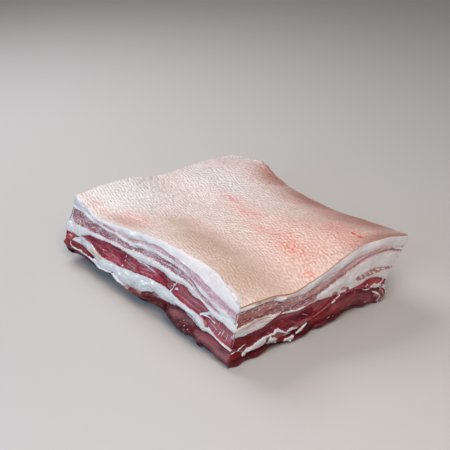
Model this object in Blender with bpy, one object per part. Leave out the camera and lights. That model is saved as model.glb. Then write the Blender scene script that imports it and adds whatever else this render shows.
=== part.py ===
"""A square-cut slab of raw pork belly, boned, lying rind side up.

Eight layers of lean and fat run right through the slab and show on all four cuts. Each layer
is one solid. X runs along the front cut, Y from the front cut to the back one, and Z is up.
The origin is on the table, under the middle of the slab.
"""

import math

import bmesh
import bpy
from mathutils import Matrix, Vector

MM = 0.001

# Where the cuts stand in the plan, in mm, at five even heights from the table to PROFILE_TOP.
# The knife wasn't held upright, and the softer layers gave way, so each cut leans and bends.
PROFILE_TOP = 64.0 * MM
LEFT_CUT = (-127, -129, -131, -126.5, -124)
RIGHT_CUT = (116, 117.5, 119, 120.5, 122.5)
FRONT_CUT_AT_LEFT = (-104, -102, -98.5, -95, -91)
FRONT_CUT_AT_RIGHT = (-96, -94.5, -92.5, -91, -89)
BACK_CUT_AT_LEFT = (89, 91.5, 94, 96.5, 99)
BACK_CUT_AT_RIGHT = (81, 80, 84, 97, 99)

# Middle of the slab's outline in the measures above, where the origin goes.
PLAN_MIDDLE = Vector((-4.44, -1.69)) * MM

# Layers from the table upwards: name, thickness in mm at even stations along the front cut
# (left to right), at the next ones along the right cut (to the back), and at the back left
# corner. Then how far the layer stands out of the cuts, in mm, and its rows of facets. The top
# layer fills the room that is left under the rind, so its thickness is only what that gives.
LAYERS = (
    (
        "bottom_lean",
        (11, 12, 10.7, 5, 5.3, 2.5, 5.5, 13.8, 15.7, 22, 19.2, 19, 15.5),
        (7.7, 7.6, 9.5, 15, 21.5, 23.4, 19, 13),
        9, 2.5, 3,
    ),
    (
        "lower_fat",
        (1.5, 3.3, 8, 8.7, 8.7, 13.8, 14.5, 10.2, 10.3, 4.1, 8.6, 1.7, 1.8),
        (4.9, 8.4, 5, 1.5, 2.5, 1.5, 2.5, 3.5),
        5, 1.2, 2,
    ),
    (
        "main_lean",
        (6, 2.7, 7.1, 14.8, 16.6, 14.8, 11.7, 12.3, 11.3, 16.2, 13.2, 15, 15),
        (14, 15.5, 14.2, 14, 4, 2.4, 7.6, 5.5),
        14, -0.8, 3,
    ),
    (
        "middle_fat",
        (10.5, 10.8, 4.7, 3.1, 3.4, 4.7, 7.3, 5.2, 6.4, 3.7, 2.8, 4.7, 5),
        (10.8, 2.7, 2.3, 5.5, 18.5, 24.3, 22.4, 23.5),
        10, 0.9, 2,
    ),
    (
        "upper_lean",
        (14, 13.2, 9.3, 7.6, 6.2, 5.2, 5.4, 6.9, 6.7, 5.6, 4.2, 3, 4.7),
        (4.5, 5.5, 5.5, 5.5, 3.5, 2, 1.5, 1.5),
        8, -0.5, 2,
    ),
    (
        "fat_seam",
        (1.5, 1.5, 1.5, 1.8, 2.2, 2.2, 3.8, 2.3, 2.1, 1.5, 3.2, 2.7, 1.5),
        (1.6, 1.6, 1.6, 1.8, 1.6, 1.5, 1.5, 1.5),
        1.8, 0.2, 1,
    ),
    (
        "skin_muscle",
        (1.5, 1.5, 1.5, 2.3, 2.6, 3.5, 4, 5.1, 4.1, 6, 7.1, 7.8, 6.8),
        (5.9, 5.5, 5.4, 7, 4.2, 2.6, 1.5, 1.5),
        4, -0.3, 1,
    ),
    ("rind_and_back_fat", (8, 3, 5, 5, 10, 7, 5), (5, 6, 8, 10, 11), 6, 0.6, 3),
)
LAYER_COLOURS = {
    "bottom_lean": (0.27, 0.055, 0.065),
    "lower_fat": (0.80, 0.72, 0.69),
    "main_lean": (0.36, 0.060, 0.070),
    "middle_fat": (0.84, 0.77, 0.74),
    "upper_lean": (0.58, 0.31, 0.29),
    "fat_seam": (0.85, 0.79, 0.77),
    "skin_muscle": (0.62, 0.34, 0.33),
    "rind_and_back_fat": (0.82, 0.66, 0.56),
}
THINNEST = 1.5 * MM
THINNEST_RIND = 3.0 * MM
GAP = 0.3 * MM  # clear space between two layers

# The underside's rim in mm, also at even stations along the two cuts: its height above the
# table, and how far it stays inside the cuts. Further in, the underside lies flat.
UNDERSIDE_RIM = ((10, 12, 12, 12, 8, 1, 0), (1, 1, 1, 2, 0), 3)
UNDERCUT = ((4, 4, 4, 4, 5, 3, -1), (2, 5, 5, 3, 0), 5)
# The bottom layer's thick tongue on the front cut, in shares of the front edge.
TONGUE_START, TONGUE_END, TONGUE_PROUD = 0.645, 0.87, 2.0 * MM

# Height of the rind in mm at seven even stations along each cut's upper edge.
RIND_FRONT = (64, 57.5, 62, 69, 70.5, 67, 55.5)
RIND_RIGHT = (55.5, 55, 50.5, 60.5, 69, 68, 61)
RIND_BACK = (58, 63.5, 55, 51, 52, 57, 61)
RIND_LEFT = (64, 66, 65, 59, 59, 60, 58)
RIND_SETBACK = (0, 0, 0, 2, 5, 8, 1)  # mm, rind trimmed back from the front cut
BACK_FOLD_AT, BACK_FOLD_WIDTH, BACK_FOLD_HEIGHT = 0.20, 0.05, 1.5 * MM

# How sharply the plan's upright corners are cut, in mm.
CORNER_CUTS = {(-1, -1): 1.5, (1, -1): 1.5, (1, 1): 1.5, (-1, 1): 7.0}
CORNER_REACH = 0.10  # share of a side over which a corner is rounded

# Waves in the layers and in the cut faces.
THICKNESS_WAVE = 0.20
CUT_WAVE = 0.7 * MM
RAGGED_WAVE = 1.6 * MM  # of the underside's rim

# Facets: each side of the plan has CELLS coarse cells, whose rim edges are split again.
CELLS = 9
RIM_SPLIT = 4


def remove_everything():
    """Leaves an empty scene, without closing this file."""
    for thing in list(bpy.data.objects):
        bpy.data.objects.remove(thing, do_unlink=True)


def along(stations, share):
    """A smooth curve through evenly spaced values (Catmull-Rom), read at a share of its length."""
    last = len(stations) - 1
    position = min(max(share, 0.0), 1.0) * last
    start = min(int(position), last - 1)
    part = position - start
    before, here = stations[max(start - 1, 0)], stations[start]
    there, after = stations[start + 1], stations[min(start + 2, last)]
    slope_here, slope_there = (there - before) / 2, (after - here) / 2
    return (
        here * (1 - part) ** 2 * (1 + 2 * part)
        + there * part**2 * (3 - 2 * part)
        + slope_here * part * (1 - part) ** 2
        - slope_there * part**2 * (1 - part)
    )


def blend(low, high, share):
    return low + (high - low) * share


def patch(front, right, back, left, s, t):
    """Height inside four edge curves (a Coons patch). s runs left to right and t front to back."""
    across = blend(along(front, s), along(back, s), t)
    deep = blend(along(left, t), along(right, t), s)
    corners = blend(blend(front[0], front[-1], s), blend(back[0], back[-1], s), t)
    return across + deep - corners


def four_edges(visible_front, visible_right, back_corner):
    """The front and right edges as measured, and the hidden ones run plainly between corners."""
    front = visible_front
    right = (visible_front[-1], *visible_right)
    return front, right, (back_corner, right[-1]), (front[0], back_corner)


def layer_thickness(index, s, t):
    """Thickness of a layer, in metres, at a place in the plan."""
    _, front, right, corner, _, _ = LAYERS[index]
    flat = patch(*four_edges(front, right, corner), s, t) * MM
    wave = math.sin(9.0 * s + 5.0 * t + 2.3 * index) + math.sin(17.0 * t - 6.0 * s + 1.1 * index)
    unmeasured = t * (1 - s)  # the waves fade towards the two measured cuts
    return max(flat * (1 + THICKNESS_WAVE * unmeasured * wave / 2), THINNEST)


def rim_nearness(s, t):
    """1 on the plan's rim, 0 one coarse cell inside it and further in."""
    inset = min(s, 1 - s, t, 1 - t)
    return max(0.0, 1 - inset * CELLS)


def tongue(s, t):
    """1 in the middle of the bottom layer's tongue on the front cut, 0 beyond its ends."""
    if t > 0 or not TONGUE_START < s < TONGUE_END:
        return 0.0
    share = (s - TONGUE_START) / (TONGUE_END - TONGUE_START)
    return math.sin(math.pi * share) ** 0.6


def rim_height(s, t):
    """How high above the table the bottom layer's own rim would run without its tongue."""
    return max(patch(*four_edges(*UNDERSIDE_RIM), s, t) * MM, 0.0)


def underside_height(s, t):
    """The underside rises towards its rim, except under the tongue, which rests on the table."""
    return rim_height(s, t) * rim_nearness(s, t) * (1 - tongue(s, t))


def rind_height(s, t):
    height = patch(RIND_FRONT, RIND_RIGHT, RIND_BACK, RIND_LEFT, s, t) * MM
    fold = math.exp(-(((s - BACK_FOLD_AT) / BACK_FOLD_WIDTH) ** 2)) * t**3
    return height + BACK_FOLD_HEIGHT * fold


def level_heights(s, t):
    """Heights of the nine surfaces that bound the eight layers, table side first."""
    height = rim_height(s, t)
    levels = []
    for index in range(len(LAYERS) - 1):
        height += layer_thickness(index, s, t)
        levels.append(height)
    top = rind_height(s, t)
    # Where there is too little room, the layers give way evenly, and the rind keeps its body.
    squeeze = min(1.0, (top - THINNEST_RIND) / height)
    return [underside_height(s, t), *(level * squeeze for level in levels), top]


def plan_point(s, t, height):
    """The plan's point for s and t at a height, between the four leaning cuts."""
    rise = height / PROFILE_TOP
    x = blend(along(LEFT_CUT, rise), along(RIGHT_CUT, rise), s)
    front = blend(along(FRONT_CUT_AT_LEFT, rise), along(FRONT_CUT_AT_RIGHT, rise), s)
    back = blend(along(BACK_CUT_AT_LEFT, rise), along(BACK_CUT_AT_RIGHT, rise), s)
    return Vector((x, blend(front, back, t))) * MM - PLAN_MIDDLE


def outwards(s, t):
    """Which way is out at the plan's rim, along X and Y. It is zero inside."""
    tiny = 1e-6
    x = -1 if s < tiny else 1 if s > 1 - tiny else 0
    y = -1 if t < tiny else 1 if t > 1 - tiny else 0
    return Vector((x, y))


def corner_cut(s, t):
    """How far the rim is drawn in near each corner, in metres."""
    total = 0.0
    for (side_x, side_y), cut in CORNER_CUTS.items():
        away = abs(s - (side_x + 1) / 2) + abs(t - (side_y + 1) / 2)
        total += cut * MM * math.exp(-((away / CORNER_REACH) ** 2))
    return total


def rim_relief(point, level, s, t):
    """How far the cut stands out at a place, from knife waves and the ragged lower edge."""
    x, y = point / MM
    wave = math.sin(0.10 * x + 0.13 * y + 0.9 * level) + math.sin(0.23 * x - 0.19 * y + 2.1 * level)
    relief = CUT_WAVE * wave / 2 - corner_cut(s, t)
    lowest = max(0.0, 1 - level)
    ragged = math.sin(0.31 * x + 0.27 * y) + math.sin(0.17 * x - 0.36 * y + 1.0)
    undercut = patch(*four_edges(*UNDERCUT), s, t) * MM
    relief += lowest**2 * (RAGGED_WAVE * ragged / 2 - undercut)
    return relief


def rind_setback(s, t, level):
    """The rind's front edge is trimmed back, as a bevel over the top layer alone."""
    if t > 0.5:
        return 0.0
    top = max(0.0, level - (len(LAYERS) - 1))
    return along(RIND_SETBACK, s) * MM * top * (1 - t) ** 6


def place(index, s, t, share):
    """The point of a layer's surface for a plan position and a share of its thickness."""
    levels = level_heights(s, t)
    low = levels[index] + (GAP / 2 if index > 0 else 0)
    high = levels[index + 1] - (GAP / 2 if index < len(LAYERS) - 1 else 0)
    level = index + share
    nominal = blend(levels[index], levels[index + 1], share)
    point = plan_point(s, t, nominal)
    stand_out = LAYERS[index][4] * MM * math.sin(math.pi * share)
    if index == 0:
        stand_out += TONGUE_PROUD * tongue(s, t) * math.sin(math.pi * share)
    point += outwards(s, t) * (rim_relief(point, level, s, t) + stand_out)
    point.y += rind_setback(s, t, level)
    return Vector((point.x, point.y, blend(low, high, share)))


def add_sheet(mesh, cells, level):
    """A square sheet in the plan's own coordinates. Its rim has the same points at any cells."""
    middle = Matrix.Translation((0.5, 0.5, level))
    bmesh.ops.create_grid(mesh, x_segments=cells, y_segments=cells, size=0.5, matrix=middle)
    splits = CELLS * RIM_SPLIT // cells - 1
    if splits:
        rim = [e for e in mesh.edges if e.is_boundary and round(e.verts[0].co.z) == level]
        bmesh.ops.subdivide_edges(mesh, edges=rim, cuts=splits)
    faces = [face for face in mesh.faces if round(face.verts[0].co.z) == level]
    bmesh.ops.triangulate(mesh, faces=faces, quad_method="FIXED")


def layer_mesh(index):
    """One layer: two sheets, a wall bridged between their rims, then bent to its real place."""
    rows = LAYERS[index][5]
    rind = index == len(LAYERS) - 1
    mesh = bmesh.new()
    add_sheet(mesh, CELLS, 0)
    add_sheet(mesh, CELLS * RIM_SPLIT if rind else CELLS, 1)
    bmesh.ops.bridge_loops(mesh, edges=[edge for edge in mesh.edges if edge.is_boundary])
    risers = [e for e in mesh.edges if round(e.verts[0].co.z) != round(e.verts[1].co.z)]
    if rows > 1:
        bmesh.ops.subdivide_edges(mesh, edges=risers, cuts=rows - 1, use_grid_fill=True)
    for vert in mesh.verts:
        vert.co = place(index, *vert.co)
    bmesh.ops.triangulate(mesh, faces=mesh.faces)
    bmesh.ops.recalc_face_normals(mesh, faces=mesh.faces)
    return mesh


def layer_material(name):
    """Wet raw meat or fat: the layer's own colour, half gloss, never metallic."""
    material = bpy.data.materials.new(name)
    material.use_nodes = True
    shader = material.node_tree.nodes["Principled BSDF"]
    shader.inputs["Base Color"].default_value = (*LAYER_COLOURS[name], 1.0)
    shader.inputs["Roughness"].default_value = 0.42
    shader.inputs["Metallic"].default_value = 0.0
    return material


def add_layer(index, collection):
    name = LAYERS[index][0]
    data = bpy.data.meshes.new(name)
    mesh = layer_mesh(index)
    mesh.to_mesh(data)
    mesh.free()
    data.shade_smooth()
    data.set_sharp_from_angle(angle=math.radians(50))
    data.materials.append(layer_material(name))
    layer = bpy.data.objects.new(name, data)
    collection.objects.link(layer)
    return layer


def main():
    remove_everything()
    slab = bpy.data.collections.new("pork_belly_slab")
    bpy.context.scene.collection.children.link(slab)
    for index in range(len(LAYERS)):
        add_layer(index, slab)


main()
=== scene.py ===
# %% [markdown]
# # A slab of raw pork belly, rind side up
# The slab is one square cut of belly with eight layers of lean and fat. Its plain solids are
# already there as a frame. This lesson dresses each of them with a fine surface: wet lean with
# marbling, soft fat, and a rind with its follicle grain. We start by loading the frame and
# keeping its box, because nothing that we add may make the slab any larger.

# %% Load the frame
import math
from collections import namedtuple
from functools import partial
from itertools import product

import bmesh
import bpy
import numpy as np
from mathutils import Matrix, Vector


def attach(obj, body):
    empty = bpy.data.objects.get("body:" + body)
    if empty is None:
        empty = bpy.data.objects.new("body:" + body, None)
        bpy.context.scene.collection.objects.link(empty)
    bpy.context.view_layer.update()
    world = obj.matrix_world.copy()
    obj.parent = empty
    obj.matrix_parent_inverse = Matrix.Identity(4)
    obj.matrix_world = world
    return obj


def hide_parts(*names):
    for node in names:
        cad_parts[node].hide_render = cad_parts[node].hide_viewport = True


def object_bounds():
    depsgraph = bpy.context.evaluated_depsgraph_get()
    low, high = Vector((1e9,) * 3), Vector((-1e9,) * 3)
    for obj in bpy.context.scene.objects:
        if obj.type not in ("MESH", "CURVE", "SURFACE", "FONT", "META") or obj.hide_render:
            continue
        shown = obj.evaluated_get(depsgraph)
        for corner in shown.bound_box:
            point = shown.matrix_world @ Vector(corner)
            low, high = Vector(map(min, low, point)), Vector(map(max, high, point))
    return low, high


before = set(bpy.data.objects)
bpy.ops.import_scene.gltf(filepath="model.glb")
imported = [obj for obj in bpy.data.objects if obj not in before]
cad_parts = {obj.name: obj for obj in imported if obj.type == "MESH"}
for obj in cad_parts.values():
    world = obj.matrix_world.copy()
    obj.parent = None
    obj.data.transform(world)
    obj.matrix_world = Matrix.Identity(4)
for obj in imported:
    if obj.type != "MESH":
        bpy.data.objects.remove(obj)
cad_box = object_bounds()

MM = 0.001
slab_low, slab_high = (Vector(corner) for corner in cad_box)


def rounded(values):
    return tuple(round(value, 4) for value in values)


print("slab from", rounded(slab_low), "to", rounded(slab_high))

# %% [markdown]
# ## The camera
# The slab is seen from just above, over its nearest corner. A long lens keeps the sides nearly
# parallel, as in a product picture. Azimuth turns the camera round the slab and elevation lifts
# it, so the view is three plain numbers and a target, which is easier to adjust than a matrix.

# %% Stand over the near corner
CAMERA_TARGET = Vector((-0.0856, 0.0637, 0.0))
CAMERA_AZIMUTH = math.radians(52)
CAMERA_ELEVATION = math.radians(26)
CAMERA_DISTANCE = 1.0
CAMERA_LENS, SENSOR_WIDTH = 78, 36  # mm


def from_angles(azimuth, elevation):
    """Unit vector from the target towards a camera or lamp at these angles."""
    flat = math.cos(elevation)
    return Vector((math.sin(azimuth) * flat, -math.cos(azimuth) * flat, math.sin(elevation)))


def aim(thing, direction):
    """Turns a camera or lamp so that it looks against a direction."""
    thing.rotation_euler = direction.to_track_quat("Z", "Y").to_euler()


def add_object(name, data):
    """A new object in the scene, with this data."""
    thing = bpy.data.objects.new(name, data)
    bpy.context.scene.collection.objects.link(thing)
    return thing


camera = add_object("camera", bpy.data.cameras.new("camera"))
bpy.context.scene.camera = camera
camera.data.lens = CAMERA_LENS
camera.data.sensor_width = SENSOR_WIDTH
towards_camera = from_angles(CAMERA_AZIMUTH, CAMERA_ELEVATION)
camera.location = CAMERA_TARGET + towards_camera * CAMERA_DISTANCE
aim(camera, towards_camera)
print("camera at", rounded(camera.location))

# %% [markdown]
# ## Floor and studio light
# A pale matt floor and a few large lamps are enough. The key lamp stands high on the left, so
# the rind is bright at that end and its hollows read. A cool fill in front and a warm one on the
# right keep the two cuts apart, and two small low lamps draw glints on what is wet. The plain
# "Standard" view keeps colours as they are mixed, where the default one would grey the reds.

# %% Lay the floor and set the lamps
FLOOR_SIZE = 8.0
FLOOR_COLOUR = (0.60, 0.59, 0.58, 1.0)
FLOOR_ROUGHNESS, FLOOR_SPECULAR = 0.9, 0.2
# Name, azimuth and elevation in degrees, distance and size in metres, watts, colour.
LAMPS = (
    ("key_lamp", -90, 50, 1.0, 0.55, 5.4, (0.96, 0.97, 1.0)),
    ("cool_fill", 22, 28, 1.0, 0.45, 3.2, (0.42, 0.74, 1.0)),
    ("warm_fill", 62, 50, 1.0, 0.50, 5.2, (1.0, 0.80, 0.66)),
    ("front_glint", -48, 5, 1.0, 0.09, 1.0, (0.85, 0.94, 1.0)),
    ("right_glint", 125, 5, 1.0, 0.10, 0.4, (1.0, 0.94, 0.90)),
)
SKY_COLOUR = (1.0, 0.975, 0.96, 1.0)
SKY_STRENGTH = 0.15


def add_lamp(name, azimuth, elevation, distance, size, watts, colour):
    lamp = add_object(name, bpy.data.lights.new(name, "AREA"))
    direction = from_angles(math.radians(azimuth), math.radians(elevation))
    lamp.location = direction * distance
    aim(lamp, direction)
    lamp.data.size = size
    lamp.data.energy = watts
    lamp.data.color = colour


def mesh_data(mesh, name):
    """Keeps an edited mesh as the data of an object."""
    data = bpy.data.meshes.new(name)
    mesh.to_mesh(data)
    mesh.free()
    return data


def new_material(name):
    """A material with its node tree and its shader."""
    material = bpy.data.materials.new(name)
    material.use_nodes = True
    return material, material.node_tree, material.node_tree.nodes["Principled BSDF"]


def add_floor():
    mesh = bmesh.new()
    bmesh.ops.create_grid(mesh, x_segments=1, y_segments=1, size=FLOOR_SIZE / 2)
    floor = add_object("floor", mesh_data(mesh, "floor"))
    material, _, shader = new_material("floor_paper")
    shader.inputs["Base Color"].default_value = FLOOR_COLOUR
    shader.inputs["Roughness"].default_value = FLOOR_ROUGHNESS
    shader.inputs["Specular IOR Level"].default_value = FLOOR_SPECULAR
    floor.data.materials.append(material)


bpy.context.scene.view_settings.view_transform = "Standard"
add_floor()
for lamp in LAMPS:
    add_lamp(*lamp)
sky = bpy.data.worlds.new("studio")
sky.use_nodes = True
sky.node_tree.nodes["Background"].inputs["Color"].default_value = SKY_COLOUR
sky.node_tree.nodes["Background"].inputs["Strength"].default_value = SKY_STRENGTH
bpy.context.scene.world = sky
print(len(LAMPS), "lamps and a floor")

# %% [markdown]
# ## The slab's form
# The eight layers are measured along the two cuts that face us: how thick each one is, how high
# the rind lies, and how the four cuts lean. A place in the slab is then two shares, s from left
# to right and t from front to back, and a height. These are the same measures as the frame's,
# so that the fine layers fill just the space that the plain ones hold. Only the facets get finer.

# %% The slab's measures
# Plan of the four cuts in mm, at five even heights from the floor to PROFILE_TOP.
PROFILE_TOP = 64.0 * MM
LEFT_CUT = (-127, -129, -131, -126.5, -124)
RIGHT_CUT = (116, 117.5, 119, 120.5, 122.5)
FRONT_CUT_AT_LEFT = (-104, -102, -98.5, -95, -91)
FRONT_CUT_AT_RIGHT = (-96, -94.5, -92.5, -91, -89)
BACK_CUT_AT_LEFT = (89, 91.5, 94, 96.5, 99)
BACK_CUT_AT_RIGHT = (81, 80, 84, 97, 99)
PLAN_MIDDLE = np.array((-4.44, -1.69)) * MM

# Thickness in mm along the front cut, along the right cut and at the back left corner, and how
# far the layer stands out of the cuts in mm.
Layer = namedtuple("Layer", "name front right corner proud")
LAYERS = (
    Layer(
        "bottom_lean", (11, 12, 10.7, 5, 5.3, 2.5, 5.5, 13.8, 15.7, 22, 19.2, 19, 15.5),
        (7.7, 7.6, 9.5, 15, 21.5, 23.4, 19, 13), 9, 2.5,
    ),
    Layer(
        "lower_fat", (1.5, 3.3, 8, 8.7, 8.7, 13.8, 14.5, 10.2, 10.3, 4.1, 8.6, 1.7, 1.8),
        (4.9, 8.4, 5, 1.5, 2.5, 1.5, 2.5, 3.5), 5, 1.2,
    ),
    Layer(
        "main_lean", (6, 2.7, 7.1, 14.8, 16.6, 14.8, 11.7, 12.3, 11.3, 16.2, 13.2, 15, 15),
        (14, 15.5, 14.2, 14, 4, 2.4, 7.6, 5.5), 14, -0.8,
    ),
    Layer(
        "middle_fat", (10.5, 10.8, 4.7, 3.1, 3.4, 4.7, 7.3, 5.2, 6.4, 3.7, 2.8, 4.7, 5),
        (10.8, 2.7, 2.3, 5.5, 18.5, 24.3, 22.4, 23.5), 10, 0.9,
    ),
    Layer(
        "upper_lean", (14, 13.2, 9.3, 7.6, 6.2, 5.2, 5.4, 6.9, 6.7, 5.6, 4.2, 3, 4.7),
        (4.5, 5.5, 5.5, 5.5, 3.5, 2, 1.5, 1.5), 8, -0.5,
    ),
    Layer(
        "fat_seam", (1.5, 1.5, 1.5, 1.8, 2.2, 2.2, 3.8, 2.3, 2.1, 1.5, 3.2, 2.7, 1.5),
        (1.6, 1.6, 1.6, 1.8, 1.6, 1.5, 1.5, 1.5), 1.8, 0.2,
    ),
    Layer(
        "skin_muscle", (1.5, 1.5, 1.5, 2.3, 2.6, 3.5, 4, 5.1, 4.1, 6, 7.1, 7.8, 6.8),
        (5.9, 5.5, 5.4, 7, 4.2, 2.6, 1.5, 1.5), 4, -0.3,
    ),
    Layer("rind_and_back_fat", (8, 3, 5, 5, 10, 7, 5), (5, 6, 8, 10, 11), 6, 0.6),
)
RIND = len(LAYERS) - 1
THINNEST = 1.5 * MM
THINNEST_RIND = 3.0 * MM

# The underside's rim in mm: its height above the floor, and how far it stays inside the cuts.
UNDERSIDE_RIM = ((10, 12, 12, 12, 8, 1, 0), (1, 1, 1, 2, 0), 3)
UNDERCUT = ((4, 4, 4, 4, 5, 3, -1), (2, 5, 5, 3, 0), 5)
UNDERSIDE_REACH = 1 / 9
TONGUE_START, TONGUE_END, TONGUE_PROUD = 0.645, 0.87, 2.0 * MM

# Height of the rind in mm along the upper edge of each cut.
RIND_FRONT = (64, 57.5, 62, 69, 70.5, 67, 55.5)
RIND_RIGHT = (55.5, 55, 50.5, 60.5, 69, 68, 61)
RIND_BACK = (58, 63.5, 55, 51, 52, 57, 61)
RIND_LEFT = (64, 66, 65, 59, 59, 60, 58)
RIND_SETBACK = (0, 0, 0, 2, 5, 8, 1)  # mm that its front edge is trimmed back
BACK_FOLD_AT, BACK_FOLD_WIDTH, BACK_FOLD_HEIGHT = 0.20, 0.05, 1.5 * MM
CORNER_CUTS = {(-1, -1): 1.5, (1, -1): 1.5, (1, 1): 1.5, (-1, 1): 7.0}
CORNER_REACH = 0.10
# Waves as (rise along the first way, along the second way, shift).
THICKNESS_WAVE, THICKNESS_WAVES = 0.20, ((9.0, 5.0, 2.3), (-6.0, 17.0, 1.1))
CUT_WAVE, CUT_WAVES = 0.7 * MM, ((0.10, 0.13, 0.9), (0.23, -0.19, 2.1))
RAGGED_WAVE, RAGGED_WAVES = 1.6 * MM, ((0.31, 0.27, 0.0), (0.17, -0.36, 1.0))
# Lifts of the lower outline where it was torn, as (mm along the cut, mm up).
FRONT_LIFTS = (
    (-128, 0), (-118, -1), (-112, 2.2), (-104, 2.6), (-92, 2), (-78, 0.8), (-62, 0.6), (-57, 4),
    (-48, 5), (-39, 5), (-33, 0.6), (-20, 0.4), (-11, -3.4), (0, -3.6), (7, -1.6), (16, 2.8),
    (25, 8), (31.5, 12.5), (36.4, 12.5), (39, 1), (44, 0), (64, 1), (71, 5), (78, 4.6), (83, 0),
    (87, 0), (92, 4), (108, 3), (128, 0),
)
RIGHT_LIFTS = (
    (-101, 0), (-63, -0.5), (-58, 1), (-54, 6), (-47, 6.4), (-42, 2.5), (-34, -2), (-24, -4.2),
    (-12, -5.4), (0, -5.2), (12, -3.8), (30, -0.6), (42, 2.6), (50, 5.2), (58, 4.2), (68, 1),
    (76, 0), (101, 0),
)
LIFT_REACH, THINNEST_LIFTED = 0.05, 0.25 * MM
# The borders between layers waver: size and depth of their lumps in mm.
RAGGED_BORDER = ((8, 0.35), (2.8, 0.22))
print(len(LAYERS), "layers, and the lower outline with", len(FRONT_LIFTS + RIGHT_LIFTS), "lifts")

# %% [markdown]
# ### Reading the measures
# A cut of meat has no straight lines, so the measures are joined by smooth curves, and a surface
# is spun between its four edge curves. All that follows works on arrays of s and t, so a whole
# layer with its tens of thousands of points is shaped in one go.

# %% Read the measures at any place
def along(stations, share):
    """A smooth curve through evenly spaced values, read at shares of its length."""
    values = np.asarray(stations, float)
    last = len(values) - 1
    position = np.clip(share, 0, 1) * last
    start = np.minimum(position.astype(int), last - 1)
    part = position - start
    before, here = values[np.maximum(start - 1, 0)], values[start]
    there, after = values[start + 1], values[np.minimum(start + 2, last)]
    return (
        here * (1 - part) ** 2 * (1 + 2 * part)
        + there * part**2 * (3 - 2 * part)
        + (there - before) / 2 * part * (1 - part) ** 2
        - (after - here) / 2 * part**2 * (1 - part)
    )


def blend(low, high, share):
    return low + (high - low) * share


def patch(front, right, back, left, s, t):
    """A height inside four edge curves, of which each pulls more the nearer it is."""
    across = blend(along(front, s), along(back, s), t)
    deep = blend(along(left, t), along(right, t), s)
    corners = blend(blend(front[0], front[-1], s), blend(back[0], back[-1], s), t)
    return across + deep - corners


def four_edges(visible_front, visible_right, back_corner):
    """The measured front and right edges, and plain hidden ones between the corners."""
    right = (visible_front[-1], *visible_right)
    return visible_front, right, (back_corner, right[-1]), (visible_front[0], back_corner)


def waves(first, second, shift, rises):
    """Sine waves that cross each other, from about -2 to 2."""
    return sum(np.sin(a * first + b * second + c * shift) for a, b, c in rises)


def layer_thickness(index, s, t):
    layer = LAYERS[index]
    flat = patch(*four_edges(layer.front, layer.right, layer.corner), s, t) * MM
    wave = waves(s, t, index, THICKNESS_WAVES)
    unmeasured = t * (1 - s)  # the waves fade towards the two measured cuts
    return np.maximum(flat * (1 + THICKNESS_WAVE * unmeasured * wave / 2), THINNEST)


def tongue(s, t):
    """1 in the middle of the bottom layer's tongue on the front cut, 0 beyond its ends."""
    share = np.clip((s - TONGUE_START) / (TONGUE_END - TONGUE_START), 0, 1)
    return np.where(t > 0, 0.0, np.maximum(np.sin(math.pi * share), 0) ** 0.6)


def rim_height(s, t):
    return np.maximum(patch(*four_edges(*UNDERSIDE_RIM), s, t) * MM, 0.0)


def underside_height(s, t):
    inset = np.minimum(np.minimum(s, 1 - s), np.minimum(t, 1 - t))
    nearness = np.maximum(0.0, 1 - inset / UNDERSIDE_REACH)
    return rim_height(s, t) * nearness * (1 - tongue(s, t))


def outline_lift(s, t):
    """How far the lower outline is lifted where the two cuts that show were torn."""
    x, y = blend(slab_low.x, slab_high.x, s) / MM, blend(slab_low.y, slab_high.y, t) / MM
    front = np.interp(x, *zip(*FRONT_LIFTS)) * np.maximum(0, 1 - t / LIFT_REACH)
    right = np.interp(y, *zip(*RIGHT_LIFTS)) * np.maximum(0, 1 - (1 - s) / LIFT_REACH)
    return (front + right) * MM


def rind_height(s, t):
    height = patch(RIND_FRONT, RIND_RIGHT, RIND_BACK, RIND_LEFT, s, t) * MM
    fold = np.exp(-(((s - BACK_FOLD_AT) / BACK_FOLD_WIDTH) ** 2)) * t**3
    return height + BACK_FOLD_HEIGHT * fold


def level_heights(s, t):
    """Heights of the nine surfaces that bound the eight layers, lowest first."""
    height = rim_height(s, t)
    flat = np.column_stack([s * (slab_high.x - slab_low.x), t * (slab_high.y - slab_low.y), 0 * s])
    levels = []
    for index in range(RIND):
        height = height + layer_thickness(index, s, t)
        ragged = sum(
            depth * MM * noise(flat, size * MM, 120 + 10 * index + part)
            for part, (size, depth) in enumerate(RAGGED_BORDER)
        )
        levels.append(height + ragged)
    top = rind_height(s, t)
    squeeze = np.minimum(1.0, (top - THINNEST_RIND) / height)
    lifted = underside_height(s, t) + outline_lift(s, t)
    lowest = np.clip(lifted, 0, levels[0] * squeeze - THINNEST_LIFTED)
    return [lowest, *(level * squeeze for level in levels), top]


def plan_point(s, t, height):
    """The plan's points for s and t at a height, between the four leaning cuts."""
    rise = height / PROFILE_TOP
    x = blend(along(LEFT_CUT, rise), along(RIGHT_CUT, rise), s)
    front = blend(along(FRONT_CUT_AT_LEFT, rise), along(FRONT_CUT_AT_RIGHT, rise), s)
    back = blend(along(BACK_CUT_AT_LEFT, rise), along(BACK_CUT_AT_RIGHT, rise), s)
    return np.column_stack([x, blend(front, back, t)]) * MM - PLAN_MIDDLE


def outwards(s, t):
    """Which way is out at the plan's rim, along X and Y. It is zero inside."""
    x = np.where(s <= 0, -1.0, np.where(s >= 1, 1.0, 0.0))
    y = np.where(t <= 0, -1.0, np.where(t >= 1, 1.0, 0.0))
    return np.column_stack([x, y])


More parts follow.
